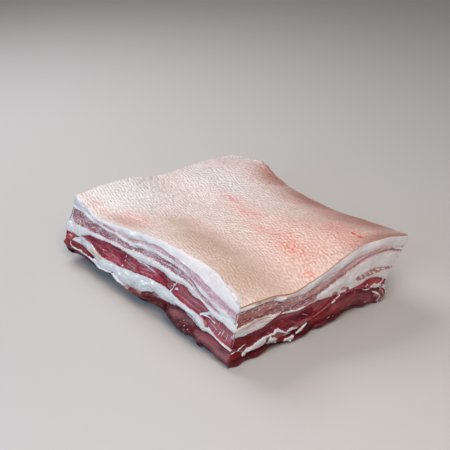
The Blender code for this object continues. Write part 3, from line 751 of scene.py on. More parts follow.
# %% Marks on the right cut
RIGHT_MARKS = (
    # One brownish band stands for both upper leans. Pale lines appear in it further back.
    ("lean", 1.0, -0.2,
        ((-92, 42.8, 3), (-65, 43.4, 3.4), (-42, 41.6, 3.4), (-18, 38.4, 3.4), (5, 43.4, 3.4),
         (20, 48.6, 4), (30, 52, 5), (40, 55.2, 5.4), (52, 57, 4.6), (62, 56.6, 4.4),
         (72, 55.2, 3.6), (80, 53, 2.8), (86, 50.2, 1.8), (91, 47.6, 1.2)),
        ((-88, 38.4, 5), (-80, 38.6, 3.4), (-72, 39.2, 1.5)),
        ((-38, 34.6, 2), (-28, 33.4, 3), (-16, 33.4, 3), (-6, 35, 2)),
    ),
    ("fat", 0.9, 0.0,
        ((-93, 50, 3), (-91, 43, 3), (-89, 37, 3)),
        ((80, 56.8, 2.4), (88, 53.8, 4), (97, 50.4, 5)),
    ),
    ("tan", 0.35, 0.0, ((-6, 42, 6), (14, 47, 7), (40, 56, 6), (60, 57, 6), (78, 54, 5))),
    ("pale", 0.45, 0.0, ((10, 46, 5), (30, 53, 6), (50, 57, 7), (64, 57, 7), (80, 54, 6))),
    # Painted shade along the lower edge near the corner.
    ("dark", 0.45, 0.0, ((-99, 9, 5), (-88, 8.6, 5), (-76, 9.6, 3))),
    ("red", 0.12, 0.0, ((-8, 13, 4), (12, 16, 6), (40, 20, 6))),
    ("fat", 0.62, 0.1,
        ((-24, 41.6, 0.4), (-8, 43.4, 0.9), (4, 47.6, 0.6)),
        ((-18, 38.4, 0.4), (0, 41.8, 0.9), (13, 47.4, 0.5)),
    ),
    ("fat", 0.6, 0.1, ((-14, 36.6, 0.4), (2, 40, 0.8), (12, 44.6, 0.4))),
    ("fat", 0.66, 0.0, ((-3, 47.4, 0.8), (8, 50.8, 1.7), (14, 51.8, 0.8))),
    ("pale", 0.5, 0.0, ((-44, 38.6, 0.4), (-26, 35.6, 0.9), (-10, 36.6, 0.4))),
    ("pale", 0.35, 0.0, ((-70, 46.5, 0.4), (-50, 45, 0.8), (-34, 42.4, 0.5))),
    ("red", 0.25, 0.0, ((-86, 48, 4), (-80, 44, 7), (-72, 42, 5))),
    # The thin fat under the skin is scrappy near the corner, with one white nub. Painted shade
    # lies in the dents between the scraps and under the nub.
    ("lean", 1.0, -0.2, ((-88, 49.4, 2.2), (-70, 49.2, 2.4), (-52, 48.8, 1.8))),
    ("fat", 0.85, 0.4, ((-87, 52.4, 2), (-70, 52.2, 2), (-54, 51.6, 1.8))),
    ("dark", 0.4, -0.6, ((-85, 50.2, 0.8), (-66, 50.2, 1), (-50, 49.4, 0.8))),
    ("dark", 0.7, -0.5, ((-71, 52.8, 1.2), (-66.5, 53.2, 1.6))),
    ("dark", 0.5, -0.4, ((-57, 51.6, 1), (-51, 51.8, 1.6))),
    ("tan", 0.7, -0.2, ((-86, 54, 1.2), (-74, 54, 0.8), (-62, 53.6, 1.6), (-44, 52, 1.2))),
    ("fat", 1.0, 2.0, ((-47.5, 49.4, 2.4), (-44.5, 48.2, 4.2), (-41.5, 49.4, 2.4))),
    ("dark", 0.9, -0.8, ((-47, 45.4, 1.2), (-43, 45.2, 1.6), (-41, 45.8, 1))),
    # Faint strata in the middle fat, with painted shade in their creases, and red flecks where it
    # pinches.
    ("fat", 1.0, 0.2, (
        (-92, 29.8, 4.6), (-84, 28.4, 5.2), (-78, 27.6, 5), (-70, 28.6, 3.6), (-60, 30, 2.4),
    )),
    ("silver", 0.4, 0.0, ((-84, 34, 2), (-70, 35.6, 3.4), (-56, 34, 2))),
    ("tan", 1.0, -0.5, ((-86, 33.4, 0.8), (-78, 33.6, 1.2), (-68, 36.4, 1.6), (-56, 35.2, 1))),
    ("tan", 0.9, -0.5, ((-82, 31.4, 0.6), (-74, 32.4, 1.4), (-66, 34, 1.3), (-54, 32.4, 0.8))),
    ("dark", 0.35, -0.5, (
        (-80, 32.2, 0.5), (-74, 33.8, 0.9), (-67, 36, 1), (-60, 36.2, 0.9), (-53, 34.6, 0.5),
    )),
    ("dark", 0.3, -0.4, ((-84, 33.8, 0.4), (-76, 34.8, 0.8), (-70, 37.2, 0.5))),
    ("lean", 1.0, -0.2, ((-52.5, 30.4, 1.6), (-48, 33, 2.6), (-43, 34.4, 1.6))),
    # Islands and the marbled streak in the thick part of the middle fat.
    ("fat", 1.0, 0.1, ((22.5, 28, 4), (30, 28.2, 4), (36.5, 29, 2))),
    ("lean", 0.75, -0.2, ((15.5, 30.5, 5), (19, 29.6, 5))),
    ("lean", 0.9, -0.2, ((24.5, 33.4, 3.4), (27.2, 32.4, 4))),
    ("tan", 0.6, 0.0, ((24.5, 33.4, 3), (27.2, 32.4, 3.6))),
    ("lean", 1.0, -0.2, ((31, 31.2, 2.8), (32, 28.8, 3.2))),
    ("dark", 0.5, 0.0, ((31, 30.6, 1.6), (32, 28.8, 2))),
    ("lean", 0.66, -0.3, (
        (41, 37.6, 5.6), (50, 37.2, 7.6), (60, 37.2, 7.4), (70, 36.6, 6), (79, 34.8, 4.4),
        (85, 33.8, 2),
    )),
    ("fat", 0.9, 0.2,
        ((43, 39.4, 0.5), (46, 36.6, 1.2)), ((47.5, 39.8, 0.7), (51, 37.4, 1.2)),
        ((50.6, 36, 0.7), (54, 34.2, 1.1)), ((54.6, 39.2, 0.7), (58, 36, 1.3)),
        ((60, 37.6, 0.7), (63.5, 34.6, 1.2)), ((64.6, 38.8, 0.6), (68, 36.4, 1)),
    ),
    ("fat", 0.8, 0.2, ((71, 36.8, 0.6), (75, 34.8, 0.9))),
    # The right end: a red piece ringed with white, over the curled end of the lowest lean.
    ("lean", 1.0, 0.2, ((42, 27.6, 2), (50, 25.8, 3.4), (58, 25, 5))),
    ("lean", 1.0, 0.3, ((58, 28, 5), (66, 26.6, 6), (72, 24.4, 5), (74, 22.4, 3.4))),
    ("dark", 0.6, 0.0, ((66, 29, 1.6), (73, 25.6, 1.8))),
    ("dark", 0.5, 0.0, ((50, 26, 1.6), (60, 26, 2))),
    ("fat", 0.9, 0.4, ((53.5, 24.6, 1), (56.4, 25.6, 1.2))),
    ("fat", 0.9, 0.5, (
        (49, 23.4, 0.5), (53, 21.8, 0.8), (58, 20.8, 1), (61.4, 22, 2), (65, 22, 3.2),
        (69.5, 19.6, 2.2), (75, 18.8, 2), (77.6, 22, 1.6), (77, 26, 1.4),
    )),
    ("tan", 0.6, 0.2, ((73, 18.4, 1.4), (77, 20.4, 1.6))),
    ("lean", 0.95, 0.5, ((71, 16.6, 1.6), (77.5, 16.8, 2.2), (80, 21, 1.6))),
    ("fat", 0.7, 0.6, ((63, 16, 1.6), (68, 13.6, 2.2), (72, 9.5, 1.4), (70, 4, 1.2))),
    ("pale", 0.4, 0.2, ((66, 12, 3), (72, 10, 5), (76, 7, 4))),
    ("tan", 0.8, 0.3, ((74.5, 14, 1.4), (77.5, 10, 2), (78.6, 5, 2), (73, 3.6, 1.4))),
    ("fat", 0.66, 0.8, ((80.5, 13, 2), (81.5, 8, 2.4), (79.5, 3, 2.2), (72, 1.6, 1.4))),
    ("lean", 0.9, 0.0, ((74.5, 10.6, 1.6), (76.5, 6.6, 2))),
    # The seam near the corner: first a thin sliver, then a ragged white flap with a loop.
    ("lean", 1.0, -0.2,
        ((-99, 19, 4.6), (-92, 17, 5.4), (-86, 15.2, 5.4), (-81, 14.6, 4), (-76, 15.2, 3),
         (-69, 17.6, 2)),
        ((-95, 14, 3.6), (-89, 12, 4.6), (-84, 10.4, 3)),
    ),
    ("fat", 0.8, 0.2, ((-92, 13.6, 0.6), (-87, 14.4, 1), (-82, 15.2, 1.2), (-77, 17, 0.7))),
    ("lean", 1.0, -0.2, ((-50, 15.6, 9), (-38, 15.6, 9), (-26, 14.6, 9), (-15, 15, 7))),
    # Painted shade in the crevice under the flap.
    ("dark", 0.6, -2.0, (
        (-78, 6.8, 1), (-72, 7.2, 2), (-64, 6.4, 2), (-58, 8, 2), (-50, 7.4, 2), (-44, 5, 3),
        (-38, 3, 2),
    )),
    ("fat", 1.0, 1.0, (
        (-81.5, 9.4, 2.2), (-76, 10.8, 3.6), (-69, 11.4, 6), (-63, 12.6, 7.4), (-60, 14, 6),
    )),
    ("fat", 1.0, 0.8, (
        (-60, 16.4, 2), (-54, 16.8, 1.8), (-49, 16.6, 2.2), (-45.5, 19, 3.4), (-43.4, 17.4, 2.4),
        (-38, 14, 1.2), (-33.4, 10.4, 1.2),
    )),
    ("silver", 1.0, -0.3, ((-74, 10, 2), (-68, 10.6, 3.4), (-61, 12.4, 4))),
    ("pale", 0.4, 0.0, ((-72, 12.6, 1.4), (-64, 14.4, 1.6))),
    ("lean", 1.0, -0.8, ((-57, 10.6, 2.6), (-55.6, 13.4, 3.4))),
    # Painted shade in this dent.
    ("dark", 0.5, 0.0, ((-57, 10.6, 2.6), (-55.6, 13.4, 3.4))),
    ("fat", 1.0, 1.2, ((-52.5, 13.2, 3.4), (-50.5, 11.2, 5), (-48, 10.8, 4))),
    ("silver", 0.8, 0.0, ((-51.5, 11.2, 3), (-49, 11, 3))),
    ("lean", 1.0, -0.4, ((-45.6, 13, 3.4), (-41.5, 10.8, 5), (-38.6, 8.4, 3))),
    ("dark", 0.35, 0.0, ((-45.4, 12.8, 2.6), (-41.5, 10.6, 4), (-38.6, 8.6, 2.4))),
    ("red", 0.5, 0.0, ((-45.4, 12.8, 2.6), (-41.5, 10.6, 4), (-38.6, 8.6, 2.4))),
    ("fat", 1.0, 1.3, ((-37, 6.2, 3), (-33, 5.4, 5), (-29.6, 6.6, 3.2))),
    ("tan", 0.7, -0.5, ((-35, 6, 1.8), (-31.4, 6, 2))),
    ("fat", 0.9, 0.8, ((-35, 13.2, 2), (-30, 13.6, 3), (-24, 12.4, 2))),
    ("silver", 0.7, 0.0, ((-33, 13.4, 1.4), (-27, 13.2, 1.8))),
    ("lean", 0.9, 0.0, ((-30, 10.4, 1.4), (-25.5, 10.6, 1.6))),
    ("fat", 1.0, 0.9, ((-25.5, 8.6, 1), (-20, 9.8, 2), (-13.4, 12.8, 0.9))),
    ("silver", 0.5, 0.0, ((-24, 9, 0.8), (-18, 10.6, 1.2))),
    # It pinches out, and only slivers of it are left, up to the red piece.
    ("lean", 1.0, -0.2, (
        (-14, 16, 3.4), (-5.5, 17, 3.8), (3, 19.8, 3.8), (15, 23.6, 4.2), (27, 26, 3.2),
        (38, 25.8, 3.2), (47, 24.4, 3),
    )),
    ("fat", 0.64, 0.2, ((3.5, 18.6, 0.9), (9.5, 20.9, 1.2))),
    ("fat", 0.9, 0.4, ((13.5, 23, 0.7), (17, 24.4, 1.3))),
    ("fat", 0.8, 0.2, ((18.5, 25, 0.4), (23.5, 26.4, 0.7))),
    # Painted shade in a line under the fat.
    ("dark", 0.7, -0.6, ((26, 26, 0.8), (38, 26.6, 1.2), (46, 24.6, 0.8))),
    # Threads, painted sheen and painted glints as small white flecks in the two red leans, and
    # painted shade along the lower edge.
    ("fat", 0.66, 0.2, ((-57, 28.6, 0.5), (-53, 24.6, 0.9), (-50, 21.4, 0.7))),
    ("pale", 0.28, 0.0, ((-46, 30, 3), (-34, 29, 3.4), (-22, 27, 3))),
    ("fat", 0.8, 0.4, ((-17, 22.4, 0.8), (-14.4, 21.2, 1))),
    ("fat", 0.66, 0.3, ((-13.6, 19.6, 0.7), (-12.4, 20.6, 0.9))),
    ("pale", 0.5, 0.0, ((-31, 21.4, 0.6), (-24, 16.8, 0.9))),
    ("dark", 0.5, 0.0, ((-24, 22, 5), (-12, 21, 5))),
    ("red", 0.3, 0.0, ((-8, 14, 5), (10, 15, 7), (34, 15, 8), (56, 14, 7))),
    ("dark", 0.6, 0.0, ((0, 10, 3), (8, 10.6, 4), (18, 10, 3))),
    ("fat", 0.8, 0.5, ((9, 9, 0.7), (12, 10.4, 1.1))),
    ("fat", 0.7, 0.4, ((16, 7.8, 0.7), (18.4, 8.8, 0.9)), ((53, 8.4, 0.7), (56, 9.4, 1))),
    ("dark", 0.5, 0.0, ((21, 17.6, 0.8), (30, 19.4, 0.9))),
    ("dark", 0.6, 0.0, ((-10, 3.4, 3), (20, 4.6, 3), (56, 5.4, 3))),
    ("lump", 1.0, 2.6, ((-31, 2.4, 4), (-20, 2.2, 6), (0, 2.4, 7), (16, 3.2, 7), (30, 5, 6))),
    # The red leans get painted sheen in pale washes in some parts and a deeper red in others, and
    # a few painted glints as white flecks.
    ("red", 0.35, 0.0, ((-90, 23, 5), (-82, 20.6, 6), (-75, 20, 4))),
    ("dark", 0.4, 0.0, ((-73, 21.6, 3), (-62, 23, 4), (-52, 26, 4))),
    ("pale", 0.14, 0.0, ((-90, 24, 4), (-80, 21, 4))),
    ("pale", 0.2, 0.0, ((-44, 32, 3), (-32, 29, 3), (-20, 27.6, 3), (-6, 29.6, 4))),
    ("pale", 0.24, 0.0, ((-2, 26, 6), (6, 28, 7), (12, 27.4, 4))),
    ("red", 0.4, 0.0, ((0, 26, 5), (8, 28, 6), (12, 27, 4))),
    ("red", 0.3, 0.0, ((44, 27, 4), (56, 28, 5), (68, 26, 5))),
    ("pale", 0.16, 0.0, ((14, 18, 4), (30, 19, 6), (46, 17, 6), (58, 13, 5))),
    ("fat", 0.6, 0.3,
        ((-85, 24.6, 0.2), (-83, 23.4, 0.5)), ((4, 30.4, 0.3), (6.4, 29.4, 0.7)),
        ((8.4, 28.4, 0.2), (10, 27.6, 0.6)), ((3, 25.4, 0.2), (5, 24.6, 0.5)),
    ),
)
print(count_trails(RIGHT_MARKS), "marks on the right cut")

# %% [markdown]
# ### Drawing the marks
# Each mark is laid over the ones before it. Fat and lean change the tissue and wipe off older
# stains and painted light, and a stain or painted light only tints. Its rim is soft on a wide
# mark and sharp on a thin thread, and ragged everywhere, as flesh never ends in a clean curve.

# %% Draw marks over the layers
# A mark fades over this share of its width, within these limits in mm.
MARK_FADE, NARROW_FADE, TISSUE_FADE, OVERLAY_FADE = 0.42, 0.35, 1.1, 3.5
RAGGED_RIM, RAGGED_RIM_SIZE = 0.5, 2.4  # mm
RAGGED_GRAIN, RAGGED_GRAIN_SIZE = 0.4, 1.1  # share of the rim's height, and mm
# Pockets behind: their size in mm, their grain, and the noise levels at which they start.
POCKET_SIZE, POCKET_GRAIN, POCKET_GRAIN_SIZE = (17, 17, 3.4), 0.4, 3
FAT_IN_LEAN_LEVEL, LEAN_IN_FAT_LEVEL, POCKET_SOFTNESS = 0.55, 0.72, 0.2
POCKET_PROUD = 0.3 * MM
STAIN_AND_LIGHT_MASKS = tuple(name.lower() + "_stain" for name in STAINS_AND_PAINTED_LIGHT)


def trail_cover(points, trail, widest_fade, ragged):
    """How fully a trail covers each point, from 0 to 1."""
    cover = np.zeros(len(points))
    for (x0, z0, w0), (x1, z1, w1) in zip(trail, trail[1:]):
        start, step = np.array((x0, z0)), np.array((x1 - x0, z1 - z0), float)
        share = np.clip((points - start) @ step / (step @ step), 0, 1)
        away = np.linalg.norm(points - start - share[:, None] * step, axis=1)
        width = blend(w0, w1, share)
        fade = np.clip(MARK_FADE * width, NARROW_FADE, widest_fade)
        inside = width / 2 - away + ragged * np.clip(width / 3, 0.2, 1)
        cover = np.maximum(cover, np.clip(0.5 + inside / (2 * fade), 0, 1))
    return cover


def draw_marks(marks, points, ragged, values):
    """Draws marks over the values at the points of a cut, one after another."""
    for kind, fullness, stand_out, *trails in marks:
        own_mask = kind + "_stain"
        fade = OVERLAY_FADE if own_mask in STAIN_AND_LIGHT_MASKS else TISSUE_FADE
        for trail in trails:
            cover = trail_cover(points, trail, fade, ragged)
            if kind in ("fat", "lean"):
                goal = float(kind == "lean")
                values["lean"] += (goal - values["lean"]) * cover * fullness
                values["joined"] += (goal - values["joined"]) * cover
                for mask in STAIN_AND_LIGHT_MASKS:
                    values[mask] *= 1 - cover
            elif own_mask in STAIN_AND_LIGHT_MASKS:
                values[own_mask] += (1 - values[own_mask]) * cover * fullness
            values["relief"] += stand_out * MM * cover**2


def marks_on_cuts(index, place, s, t):
    """Share of lean, joined lean, relief, stains and painted light on the rim, all from the marks.
    """
    layer_lean = float(is_lean(index))
    values = {name: np.zeros(len(place)) for name in ("lean", "joined", "relief", *STAIN_AND_LIGHT_MASKS)}
    values["lean"] += layer_lean
    ragged = RAGGED_RIM * noise(place, RAGGED_RIM_SIZE * MM, 71)
    ragged = ragged + RAGGED_GRAIN * RAGGED_RIM * noise(place, RAGGED_GRAIN_SIZE * MM, 72)
    for marks, axis, on_cut in ((FRONT_MARKS, 0, t <= 0), (RIGHT_MARKS, 1, s >= 1)):
        part = {name: value[on_cut] for name, value in values.items()}
        draw_marks(marks, place[on_cut][:, (axis, 2)] / MM, ragged[on_cut], part)
        for name, value in part.items():
            values[name][on_cut] = value
    # The two cuts behind get pockets and scraps of the same sizes from noise.
    behind = ((t >= 1) | (s <= 0)) & (t > 0) & (s < 1)
    pockets = noise(place[behind], np.array(POCKET_SIZE) * MM, 73)
    pockets = pockets + POCKET_GRAIN * noise(place[behind], POCKET_GRAIN_SIZE * MM, 74)
    level = FAT_IN_LEAN_LEVEL if is_lean(index) else LEAN_IN_FAT_LEVEL
    cover = np.clip((pockets - level) / POCKET_SOFTNESS, 0, 1)
    values["lean"][behind] += (1 - layer_lean - values["lean"][behind]) * cover
    values["relief"][behind] += POCKET_PROUD * cover
    return values


print("stains:", ", ".join(STAINS_AND_PAINTED_LIGHT))

# %% [markdown]
# ## One layer as a closed mesh
# A layer is two sheets, floor and roof, with a wall between their rims. Blender's bridge tool
# builds the wall, and an even split gives it rows. The sheets inside the meat stay coarse,
# since nobody sees them, while the rim has a point every half millimetre. The flat shape is
# made first, in shares of the slab, and then every point is bent to its real place at once.

# %% Build the flat shape of a layer
# Cells of the sheets along s and t, and how many parts each rim edge is split into.
COARSE_CELLS, RIM_SPLITS = (20, 16), 24
RIND_CELLS, RIND_RIM_SPLITS = (320, 256), 16
UNDERSIDE_CELLS, UNDERSIDE_RIM_SPLITS = (80, 64), 6
WALL_ROW, RIND_WALL_ROW = 0.7 * MM, 0.95 * MM


def add_sheet(mesh, cells, splits, level):
    """A sheet in shares of the plan, whose rim edges are split into finer ones."""
    middle = Matrix.Translation((0.5, 0.5, level))
    bmesh.ops.create_grid(mesh, x_segments=cells[0], y_segments=cells[1], size=0.5, matrix=middle)
    if splits > 1:
        rim = [e for e in mesh.edges if e.is_boundary and round(e.verts[0].co.z) == level]
        bmesh.ops.subdivide_edges(mesh, edges=rim, cuts=splits - 1)
        faces = [f for f in mesh.faces if len(f.verts) > 4 and round(f.verts[0].co.z) == level]
        bmesh.ops.triangulate(mesh, faces=faces)


def flat_layer(index):
    """A layer's closed flat mesh, and the number of rows in its wall."""
    thickest = max(*LAYERS[index].front, *LAYERS[index].right) * MM
    rows = round(thickest / (RIND_WALL_ROW if index == RIND else WALL_ROW))
    mesh = bmesh.new()
    rim_splits = RIND_RIM_SPLITS if index == RIND else RIM_SPLITS
    if index == 0:
        add_sheet(mesh, UNDERSIDE_CELLS, UNDERSIDE_RIM_SPLITS, 0)
    else:
        add_sheet(mesh, COARSE_CELLS, rim_splits, 0)
    if index == RIND:
        add_sheet(mesh, RIND_CELLS, 1, 1)
    else:
        add_sheet(mesh, COARSE_CELLS, rim_splits, 1)
    bmesh.ops.bridge_loops(mesh, edges=[edge for edge in mesh.edges if edge.is_boundary])
    risers = [e for e in mesh.edges if round(e.verts[0].co.z) != round(e.verts[1].co.z)]
    bmesh.ops.subdivide_edges(mesh, edges=risers, cuts=rows - 1, use_grid_fill=True)
    bmesh.ops.recalc_face_normals(mesh, faces=mesh.faces)
    return mesh, rows


print("the rind's sheet has", RIND_CELLS[0] * RIND_CELLS[1], "cells")

# %% [markdown]
# ### Bending the flat shape
# Now each point goes to its real place. The four cuts lean, the corners were worn round, the
# layers swell or draw back, and the marks stand out or sink in. The same step writes down what
# the finish reads at each point: where it lies in its layer, and which tissue is there.

# %% Bend it to its real place
CORNER_RADIUS = 2.2 * MM
FLOOR_MARGIN = 0.4 * MM  # marks don't change what rests on the floor
JOINED_BORDER = 3 * MM  # a border that marks have closed counts as this much further away
# The right cut's painted shade tint fades away from the near corner at this rate.
RIGHT_DUSK_FADE = 1.35  # how fast the right cut's tint fades away from the near corner


def corner_rounding(s, t):
    """Draws the four upright edges in along a small arc, as a move in X and Y."""
    width, depth = (slab_high - slab_low).xy
    along_s, along_t = np.minimum(s, 1 - s) * width, np.minimum(t, 1 - t) * depth
    side = np.column_stack([np.where(s < 0.5, 1.0, -1.0), np.where(t < 0.5, 1.0, -1.0)])
    reach = np.clip((along_s - along_t) / CORNER_RADIUS, -1, 1)
    near = np.clip(1 - np.minimum(along_s, along_t) / CORNER_RADIUS, 0, 1)
    angle = math.pi / 4 * (1 - reach)
    arc_x, arc_y = CORNER_RADIUS * (1 - np.sin(angle)), CORNER_RADIUS * (1 - np.cos(angle))
    straight_x = np.where(reach > 0, reach * CORNER_RADIUS, 0.0)
    straight_y = np.where(reach < 0, -reach * CORNER_RADIUS, 0.0)
    close = (np.abs(reach) < 1) * near
    return side * np.column_stack([arc_x - straight_x, arc_y - straight_y]) * close[:, None]


def rind_setback(s, t, level):
    """The rind's front edge is trimmed back, as a bevel over the top layer alone."""
    top = np.maximum(0.0, level - RIND)
    return np.where(t > 0.5, 0.0, along(RIND_SETBACK, s) * MM * top * (1 - t) ** 6)


def bend(index, flat):
    """Real places for a layer's flat points, and the values that its finish reads there.

    A bed coordinate is X, Y and the height above the layer's own floor, so a pattern made in
    it follows the layer up and down. The border is the distance to the layer's nearest border.
    """
    s, t = np.round(flat[:, 0], 6), np.round(flat[:, 1], 6)  # so the rim is at 0 and 1 exactly
    share = flat[:, 2]
    levels = level_heights(s, t)
    floor, roof = levels[index], levels[index + 1]
    height = blend(floor, roof, share)
    level = index + share
    plan = plan_point(s, t, height)
    bed = np.column_stack([plan, height - floor])
    marked = marks_on_cuts(index, np.column_stack([plan, height]), s, t)
    joined, mark_relief = JOINED_BORDER * marked.pop("joined"), marked.pop("relief")
    above = roof - height if index != RIND else np.full(len(s), JOINED_BORDER)
    below = height - floor if index != 0 else np.full(len(s), JOINED_BORDER)
    swell = np.sin(math.pi * share)
    stand_out = LAYERS[index].proud * MM * swell
    if index == 0:
        stand_out = stand_out + TONGUE_PROUD * tongue(s, t) * swell
    relief = rim_relief(plan, level, s, t) + stand_out + cut_relief(index, bed, share)
    relief = relief + mark_relief * (height > FLOOR_MARGIN)
    plan = plan + outwards(s, t) * relief[:, None] + corner_rounding(s, t)
    plan[:, 1] += rind_setback(s, t, level)
    place = np.column_stack([plan, height])
    values = {
        "bed": bed,
        "border": np.minimum(below, above) + joined,
        "under": roof - height + joined,
        "right": (s >= 1) * np.maximum(0, 1 - RIGHT_DUSK_FADE * t),
        **marked,
    }
    if index == RIND:
        on_top = share >= 1
        bare = np.clip(-skin_reach(s, t, place) / MM, 0, 1)
        crumbs = sum(
            height * MM * noise(place, size * MM, 99 + size) for size, height in BARE_CRUMBS
        )
        place[:, 2] += np.where(on_top, rind_relief(place) + bare * crumbs, 0.0)
        values["depth"] = roof - height
        values["skin"] = np.clip(skin_reach(s, t, place) / MM, 0, 1) * on_top
    return place, values


print("corners rounded by", CORNER_RADIUS / MM, "mm")

# %% [markdown]
# ## Shader tools
# Each finish is a small network of nodes. A few helpers keep the cells short: they add a node
# with its inputs filled in, do sums, mix colours, map ranges, make groups and read the values
# that each point of the mesh holds.

# %% Node helpers
def add_node(tree, kind, inputs=None, **settings):
    """A new node with its settings, and its inputs set to values or linked to sockets."""
    node = tree.nodes.new(kind)
    for name, value in settings.items():
        setattr(node, name, value)
    for name, value in (inputs or {}).items():
        if isinstance(value, bpy.types.NodeSocket):
            tree.links.new(value, node.inputs[name])
        else:
            node.inputs[name].default_value = value
    return node


def calculate(tree, operation, *values, clamp=False):
    inputs = dict(enumerate(values))
    node = add_node(tree, "ShaderNodeMath", inputs, operation=operation, use_clamp=clamp)
    return node.outputs[0]


def mix(tree, factor, first, second, mode="MIX"):
    """Mixes two colours. Inputs 0, 6 and 7 of the Mix node are its factor and colours."""
    inputs = {0: factor, 6: first, 7: second}
    node = add_node(tree, "ShaderNodeMix", inputs, data_type="RGBA", blend_type=mode)
    return node.outputs[2]


def ramp(tree, value, low, high, to_low=0.0, to_high=1.0):
    """Smoothly maps a value that runs from low to high."""
    inputs = {
        "Value": value, "From Min": low, "From Max": high, "To Min": to_low, "To Max": to_high,
    }
    node = add_node(tree, "ShaderNodeMapRange", inputs, interpolation_type="SMOOTHSTEP")
    return node.outputs["Result"]


def new_group(name, inputs, outputs):
    """An empty node group. Inputs are given with a value, or None for a vector, outputs with a
    type: float for a number, and tuple for a colour."""
    group = bpy.data.node_groups.new(name, "ShaderNodeTree")
    kinds = {float: "NodeSocketFloat", tuple: "NodeSocketColor", type(None): "NodeSocketVector"}
    for label, value in inputs.items():
        kind = kinds[type(value)]
        socket = group.interface.new_socket(label, in_out="INPUT", socket_type=kind)
        if value is not None:
            socket.default_value = value
    for label, kind in outputs.items():
        group.interface.new_socket(label, in_out="OUTPUT", socket_type=kinds[kind])
    given, result = group.nodes.new("NodeGroupInput"), group.nodes.new("NodeGroupOutput")
    return group, given.outputs, result.inputs


def use_group(tree, group, **inputs):
    """A node group placed in a tree. Its input "Width mm" is given as Width_mm, and so on."""
    named = {name.replace("_", " "): value for name, value in inputs.items()}
    return add_node(tree, "ShaderNodeGroup", named, node_tree=group).outputs


def attribute(tree, name, output="Fac"):
    """A number, or with output Vector a vector, that the mesh holds at each point."""
    return add_node(tree, "ShaderNodeAttribute", attribute_name=name).outputs[output]


def add_bump(tree, shader, height, strength, distance):
    """Fine grain in the light alone, too small for the mesh. The distance is in mm."""
    inputs = {"Strength": strength, "Distance": distance * MM, "Height": height}
    bump = add_node(tree, "ShaderNodeBump", inputs)
    tree.links.new(bump.outputs["Normal"], shader.inputs["Normal"])


print("node helpers ready")

# %% [markdown]
# ## Streaks that follow a layer
# Marbling, fibres and veins are all streaks: noise that is stretched along the layer and
# squeezed across it. The group takes bed coordinates, so its streaks rise and dip with the
# layer. Several finishes use it with their own lengths.

# %% Streaks group
PER_METRE = 1000.0  # mm


def make_streaks_group():
    group, given, result = new_group(
        "streaks",
        {
            "Bed": None, "Length mm": 10.0, "Width mm": 1.5, "Wander": 0.6, "Detail": 3.0,
            "Seed": 0.0,
        },
        {"Value": float},
    )
    per_length = calculate(group, "DIVIDE", PER_METRE, given["Length mm"])
    per_width = calculate(group, "DIVIDE", PER_METRE, given["Width mm"])
    scales = {"X": per_length, "Y": per_length, "Z": per_width}
    scale = add_node(group, "ShaderNodeCombineXYZ", scales)
    both = {0: given["Bed"], 1: scale.outputs[0]}
    scaled = add_node(group, "ShaderNodeVectorMath", both, operation="MULTIPLY")
    texture = add_node(
        group,
        "ShaderNodeTexNoise",
        {
            "Vector": scaled.outputs[0],
            "W": given["Seed"],
            "Scale": 1.0,
            "Detail": given["Detail"],
            "Roughness": 0.6,
            "Distortion": given["Wander"],
        },
        noise_dimensions="4D",
    )
    group.links.new(texture.outputs["Fac"], result["Value"])
    return group


streaks_group = make_streaks_group()


def streaks(tree, bed, length, width, seed, wander=0.6, detail=3.0):
    """Noise from 0 to 1 with streaks of this length and width in mm."""
    outputs = use_group(
        tree, streaks_group, Bed=bed, Length_mm=length, Width_mm=width, Wander=wander,
        Detail=detail, Seed=seed,
    )
    return outputs["Value"]


print("made", streaks_group.name)

# %% [markdown]
# ## What both tissues share
# Fat and lean lie side by side on every cut, so their finishes read the same things: the bed,
# the border, the share of lean, and the stains and painted light of the marks. Both are dull
# where they have dried and glossy where a wet film is whole, which is the clear coat of the
# shader over a smoother surface.

# %% Stains, painted light, gloss and readings
DRY, WET = 0.46, 0.12  # roughness


def paint_stains_and_light(tree, colour, given, streaked):
    """Lays the stains and the painted shade and sheen of the marks over a colour, a little
    streaked.
    """
    for name, tone in STAINS_AND_PAINTED_LIGHT.items():
        uneven = ramp(tree, streaked, 0.3, 0.6, 0.6, 1.0)
        strength = calculate(tree, "MULTIPLY", given[name], uneven)
        colour = mix(tree, strength, colour, tone)
    return colour


def readings(tree):
    """What the mesh tells both tissue groups at each point."""
    return {
        "Bed": attribute(tree, "bed", "Vector"),
        "Border": attribute(tree, "border"),
        "Lean": attribute(tree, "lean"),
        **{name: attribute(tree, name.lower() + "_stain") for name in STAINS_AND_PAINTED_LIGHT},
    }


def add_gloss(tree, shader, wet, roughness, coat, coat_roughness):
    """Gives the wet places this roughness and coat, and the dry ones none of it."""
    tree.links.new(ramp(tree, wet, 0.0, 1.0, DRY, roughness), shader.inputs["Roughness"])
    tree.links.new(ramp(tree, wet, 0.0, 1.0, 0.0, coat), shader.inputs["Coat Weight"])
    shader.inputs["Coat Roughness"].default_value = coat_roughness


print("roughness from", WET, "where wet to", DRY, "where dry")

# %% [markdown]
# ## Lean
# Lean meat is dark red muscle, crossed by white threads of fat, and its border with the fat is
# frayed. The group gives a colour, a mask of what is fat, a height for the fibres and a mask of
# the wet film. Four layers use it, from the dark lowest muscle to the pale one under the fat.

